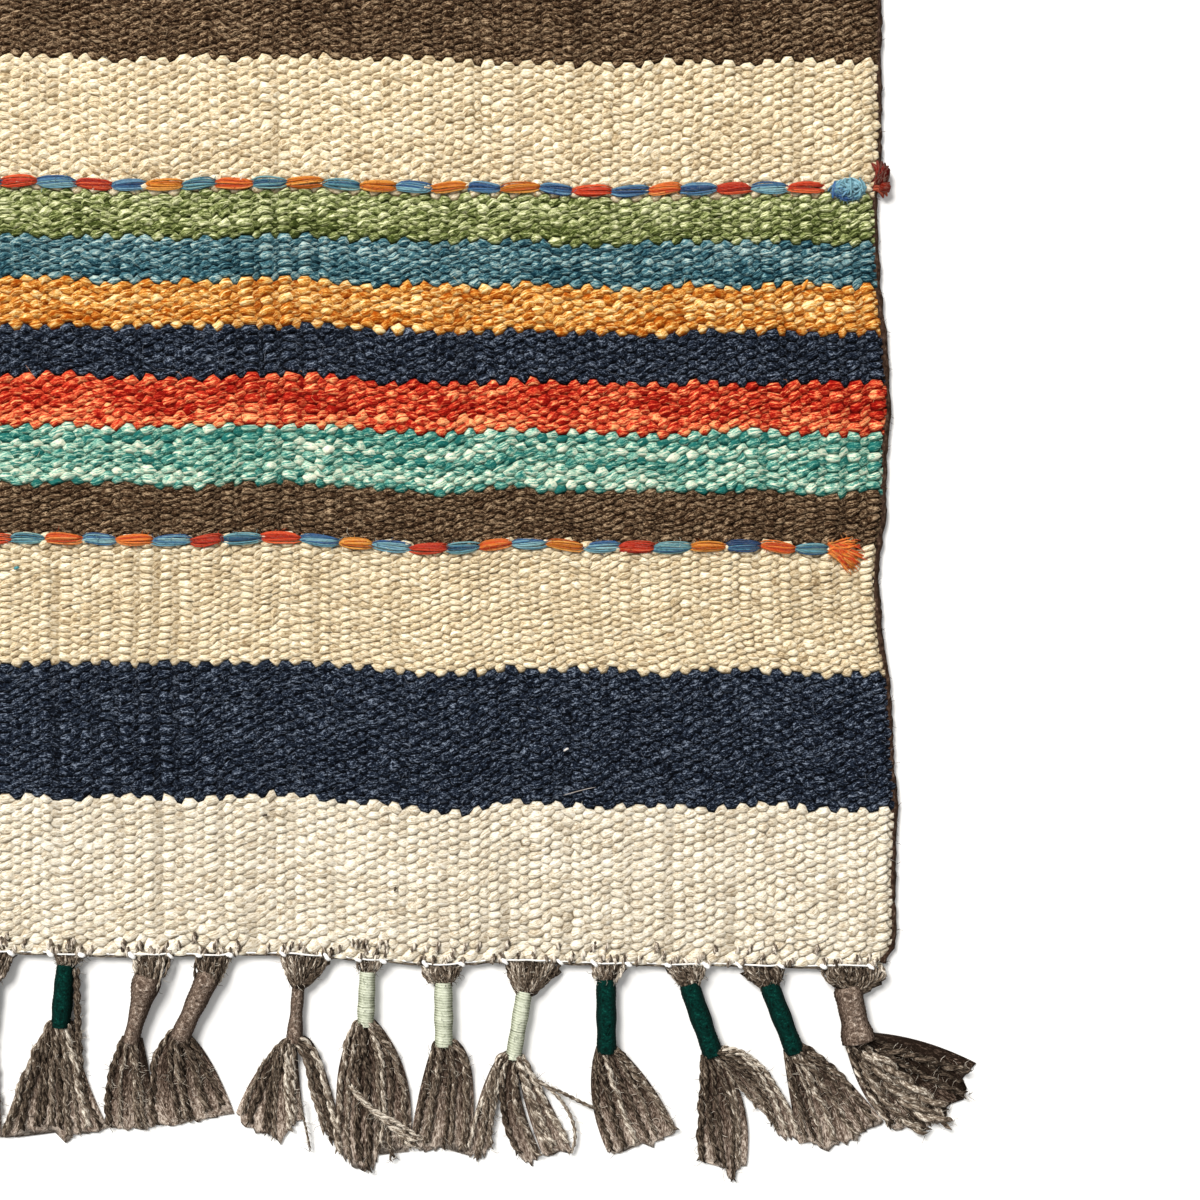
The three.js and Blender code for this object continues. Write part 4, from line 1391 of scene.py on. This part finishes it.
def orange_tuft(heap, along):
    """The lower row's end: loose orange ends that spread down to the right"""
    cloud = []
    for lobe, wide, count in ORANGE_LOBES:
        for _ in range(count):
            start = tuft_place(280.0 + random.uniform(-0.8, 2.0), along + random.uniform(-1.8, 2.2), 3.8)
            reach = random.uniform(0.45, 1.0)
            end = start + (lobe[0] * reach - 0.6, lobe[1] * reach, random.uniform(-0.4, 0.8))
            end += (*random.normal(0, 0.5 * wide, 2), 0)
            bulge = (random.normal(0, 0.4), 0.9 + random.normal(0, 0.4), random.uniform(0.8, 2.0))
            path = bezier([start, (start + end) / 2 + bulge, end], 8)
            path[:, :2] += random.normal(0, 0.09, (8, 2))
            thick = random.uniform(0.20, 0.40)
            heap.tube(path, thick * THIN_END, 4, 0.4, linear(ORANGES[random.integers(6)]))
            cloud.append(path)
    hairs(heap, np.concatenate(cloud), 150, 2.6, (0.4, 0.9), 0.09, linear((236, 156, 86)))


TUFTS = {1: [orange_tuft], 2: [loop_tuft, red_tuft]}
# Loose fibres for each millimetre of a band's depth
FIBRES = {"navy": 5.2, "brown": 5.2}
USUAL_FIBRES = 2.0


def loose_fibres():
    """Single fibres that stand out of the weave, in paler shades of its bands"""
    heap = Heap()
    for colour, start, end, _ in BANDS:
        if start > FINE_FAR:
            break
        light = np.array(TONES[colour][3]) * 0.85 + np.array(TONES[colour][2]) * 0.15
        for _ in range(round((end - start) * FIBRES.get(colour, USUAL_FIBRES))):
            nominal = random.uniform(4, HALF_WIDTH)
            at = surface(nominal + HALF_WIDTH, random.uniform(start, end), 1.3)
            hairs(heap, [at], 1, random.uniform(1.6, 5.0), thick=0.065, dye=linear(light))
    return heap.piece("loose_fibres", "dyed")


# Bits of yarn and specks on the weave: place across and along, length, thickness, direction, colour
SPECKS = [
    (271.5, 226.3, 4.2, 0.55, 1.1, (222, 140, 40)), (83.5, 260.0, 2.6, 0.22, 0.9, (238, 232, 220)),
    (9.0, 129.3, 1.6, 0.5, 0.3, (70, 150, 160)), (192.0, 71.0, 1.8, 0.4, 0.5, (226, 224, 220)),
    (196.5, 57.6, 11.0, 0.12, 0.25, (196, 190, 184)), (91.7, 45.8, 1.5, 0.4, 0.2, (62, 52, 44)),
    (135.0, 25.0, 1.4, 0.4, 1.4, (70, 58, 48)),
]


def specks():
    heap = Heap()
    for x, along, length, thick, way, colour in SPECKS:
        step = np.array([math.cos(way), math.sin(way), 0]) * length / 2
        middle = np.array([x, surface_y(x, along), 4.4])
        path = bezier([middle - step, middle + (0.3, 0.5, 0.8), middle + step], 8)
        heap.tube(path, thick * POINTED, 6, 0.5, linear(colour))
    return heap.piece("specks", "dyed")


# The end's stitches
def stitch(thread, x):
    """A short thick stitch over the end line"""
    y = float(front_end(x))
    tilt = random.uniform(-0.5, 0.9)
    path = bezier([(x - 1.1, y + 0.5 + tilt, 4.0), (x - 0.4, y + 0.4, 5.0),
                   (x + 0.5, y - 0.4, 5.0), (x + 1.0, y - 0.5 - tilt * 0.5, 4.2)], 8)
    shape = 1 + random.normal(0, 0.14, (8, 7))
    thread.tube(path, random.uniform(0.5, 0.8) * POINTED, 7, 0.7, shape=shape)


def warp_stub(warp, x):
    """A warp that shows between the last picks"""
    y = float(front_end(x)) + random.choice([0.2, 2.2, 4.4], p=[0.5, 0.3, 0.2])
    aside = random.normal(0.7, 0.5)
    size = random.uniform(1.6, 3.4)
    path = bezier([(x + aside, y + size, 3.2), (x + aside * 0.6, y + size * 0.6, 4.7),
                   (x, y, 4.6), (x - 0.3, y - 0.8, 3.0)], 7)
    light = random.normal(0.14, 0.12)
    twisted(warp, path, random.uniform(1.5, 2.4), (0.26 + light, 0.52 + light), 3.6, 4)


def end_stitches(prefix, rows, turned):
    """The overcast thread along an end, its stitches beside the knots, and warps between the last picks"""
    thread, warp = Heap(), Heap()
    xs = np.arange(-296.5, 297, 1.6)
    near = np.zeros(len(xs))
    for row in rows:
        near = np.maximum(near, smooth(1.25 - abs(xs - (HALF_WIDTH - row["at"])) / (row["knot"] / 2)))
    drift = waves(6, 60, 7)
    y = front_end(xs) + 0.3 + 0.5 * drift(xs)
    thread.tube(np.stack([xs, y, 3.3 + 1.5 * near], 1), 0.30 + 0.06 * drift(xs * 3), 5, 0.6)
    line = np.stack([xs, y - 0.75 + 0.3 * drift(2 * xs), 2.6 + 0.2 * near], 1)
    warp.tube(line, 0.5 + 0.12 * drift(xs * 2 + 9), 5, 0.36)
    for row in rows:
        knot_x = HALF_WIDTH - row["at"]
        for side in (-1, 1):
            x = knot_x + side * row["knot"] * random.uniform(0.40, 0.52)
            stitch(thread, min(x, HALF_WIDTH - 6.5))
        count = 10 if knot_x > FINE_LEFT and not turned else 3
        for k in range(count):
            x = knot_x + ((k + 0.5) / count - 0.5) * row["knot"] * 1.5 + random.normal(0, 0.9)
            warp_stub(warp, min(x, HALF_WIDTH - 6))
    return [thread.piece(prefix + "_overcast", "white", turned),
            warp.piece(prefix + "_warps", "yarn", turned)]


def selvedge_cords():
    """The outermost warps, a dark cord along each side whose darkness is painted shade under the turns of the
    weft
    """
    pieces = []
    sway = waves(7, 90, 5)
    for side, name, edge_t, step, fuzz in ((1, "right", SURFACE_WIDTH, 1.8, 520), (-1, "left", 0.0, 4.5, 20)):
        heap = Heap()
        alongs = np.arange(1.0, LENGTH - 0.5, step)
        edge = surface(edge_t, alongs, 0.0)
        x = edge[:, 0] + side * (0.62 + 0.6 * sway(alongs + 40 * side) + random.normal(0, 0.08, len(alongs)))
        path = np.stack([x, edge[:, 1], np.full(len(alongs), 1.45)], 1)
        uneven = 1 + random.normal(0, 0.08, (len(alongs), 7))
        heap.tube(path, 1.42 + 0.3 * sway(alongs * 3), 7, 0.36, shape=uneven)
        hairs(heap, path + (side * 0.8, 0, 0.6), fuzz, 1.9, (0.1, 0.7))
        pieces.append(heap.piece(f"selvedge_{name}", "shaded_selvedge"))
    return pieces


# Build
def tassel_rows():
    """What each tassel of the front and of the back end is like"""
    plain = [plain_tassel(number, 0) for number in range(len(SEEN_TASSELS) + 1, TASSELS + 1)]
    return SEEN_TASSELS + plain, [plain_tassel(number, 1) for number in range(1, TASSELS + 1)]


def tassels(prefix, rows, seen_count, turned):
    pieces = []
    for number, row in enumerate(rows, 1):
        tassel = Tassel(number, row, number <= seen_count)
        pieces += tassel.pieces(f"{prefix}_tassel_{number:02d}", turned)
    return pieces


def build_rug():
    others = weave_pieces()
    ground = ground_piece()
    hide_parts("woven_body")
    front, back = tassel_rows()
    others += tassels("front", front, len(SEEN_TASSELS), False)
    others += tassels("back", back, 0, True)
    others += selvedge_cords()
    others += [dash_row(number, along) for number, along in enumerate(DASH_ROWS, 1)]
    others += [loose_fibres(), specks()]
    others += end_stitches("front", front, False)
    others += end_stitches("back", back, True)


# The stage, in metres. The camera looks straight down at the middle of the view, which is as wide
# as VIEW_WIDTH at the rug's top.
VIEW = (0.2033, -0.3283)
VIEW_WIDTH, RUG_TOP = 0.4, 0.0039
LENS, SENSOR = 50, 36
FLOOR_HALF, FLOOR_LOW = 4.0, -0.0002
WORLD_COLOUR, WORLD_LIGHT = (1.0, 0.985, 0.965, 1.0), 0.40
# The lamps: name, place from the middle of the view, size, power and colour
LAMPS = [
    ("key", (-1.19, 1.50, 2.21), 1.36, 130.0, (1.0, 0.975, 0.94)),
    ("fill", (1.3, -0.9, 1.6), 1.4, 5.0, (0.94, 0.97, 1.0)),
]


def scene_object(name, data):
    """A new object in the scene"""
    made = bpy.data.objects.new(name, data)
    bpy.context.scene.collection.objects.link(made)
    return made


def build_floor():
    mesh = bpy.data.meshes.new("floor")
    corners = [(x * FLOOR_HALF, y * FLOOR_HALF, FLOOR_LOW) for x, y in ((-1, -1), (1, -1), (1, 1), (-1, 1))]
    mesh.from_pydata(corners, [], [(0, 1, 2, 3)])
    mesh.materials.append(floor_material())
    scene_object("floor", mesh)


def build_world():
    world = bpy.data.worlds.new("studio")
    world.use_nodes = True
    background = world.node_tree.nodes["Background"]
    background.inputs[0].default_value = WORLD_COLOUR
    background.inputs[1].default_value = WORLD_LIGHT
    bpy.context.scene.world = world


def build_lamp(name, place, size, power, colour):
    """A square lamp that shines at the middle of the view"""
    light = bpy.data.lights.new(name, "AREA")
    light.size, light.energy, light.color = size, power, colour
    lamp = scene_object(name, light)
    lamp.location = (VIEW[0] + place[0], VIEW[1] + place[1], place[2])
    aim = np.array([VIEW[0], VIEW[1], 0.0]) - np.array(lamp.location)
    lamp.rotation_euler = (math.acos(-aim[2] / np.linalg.norm(aim)), 0, math.atan2(-aim[0], aim[1]))


def build_camera():
    camera = bpy.data.cameras.new("camera")
    camera.lens, camera.sensor_width = LENS, SENSOR
    eye = scene_object("camera", camera)
    eye.location = (VIEW[0], VIEW[1], RUG_TOP + VIEW_WIDTH * LENS / SENSOR)
    bpy.context.scene.camera = eye
    bpy.context.scene.view_settings.view_transform = "Standard"


def build_studio():
    build_floor()
    build_world()
    for lamp in LAMPS:
        build_lamp(*lamp)
    build_camera()


build_studio()
build_rug()
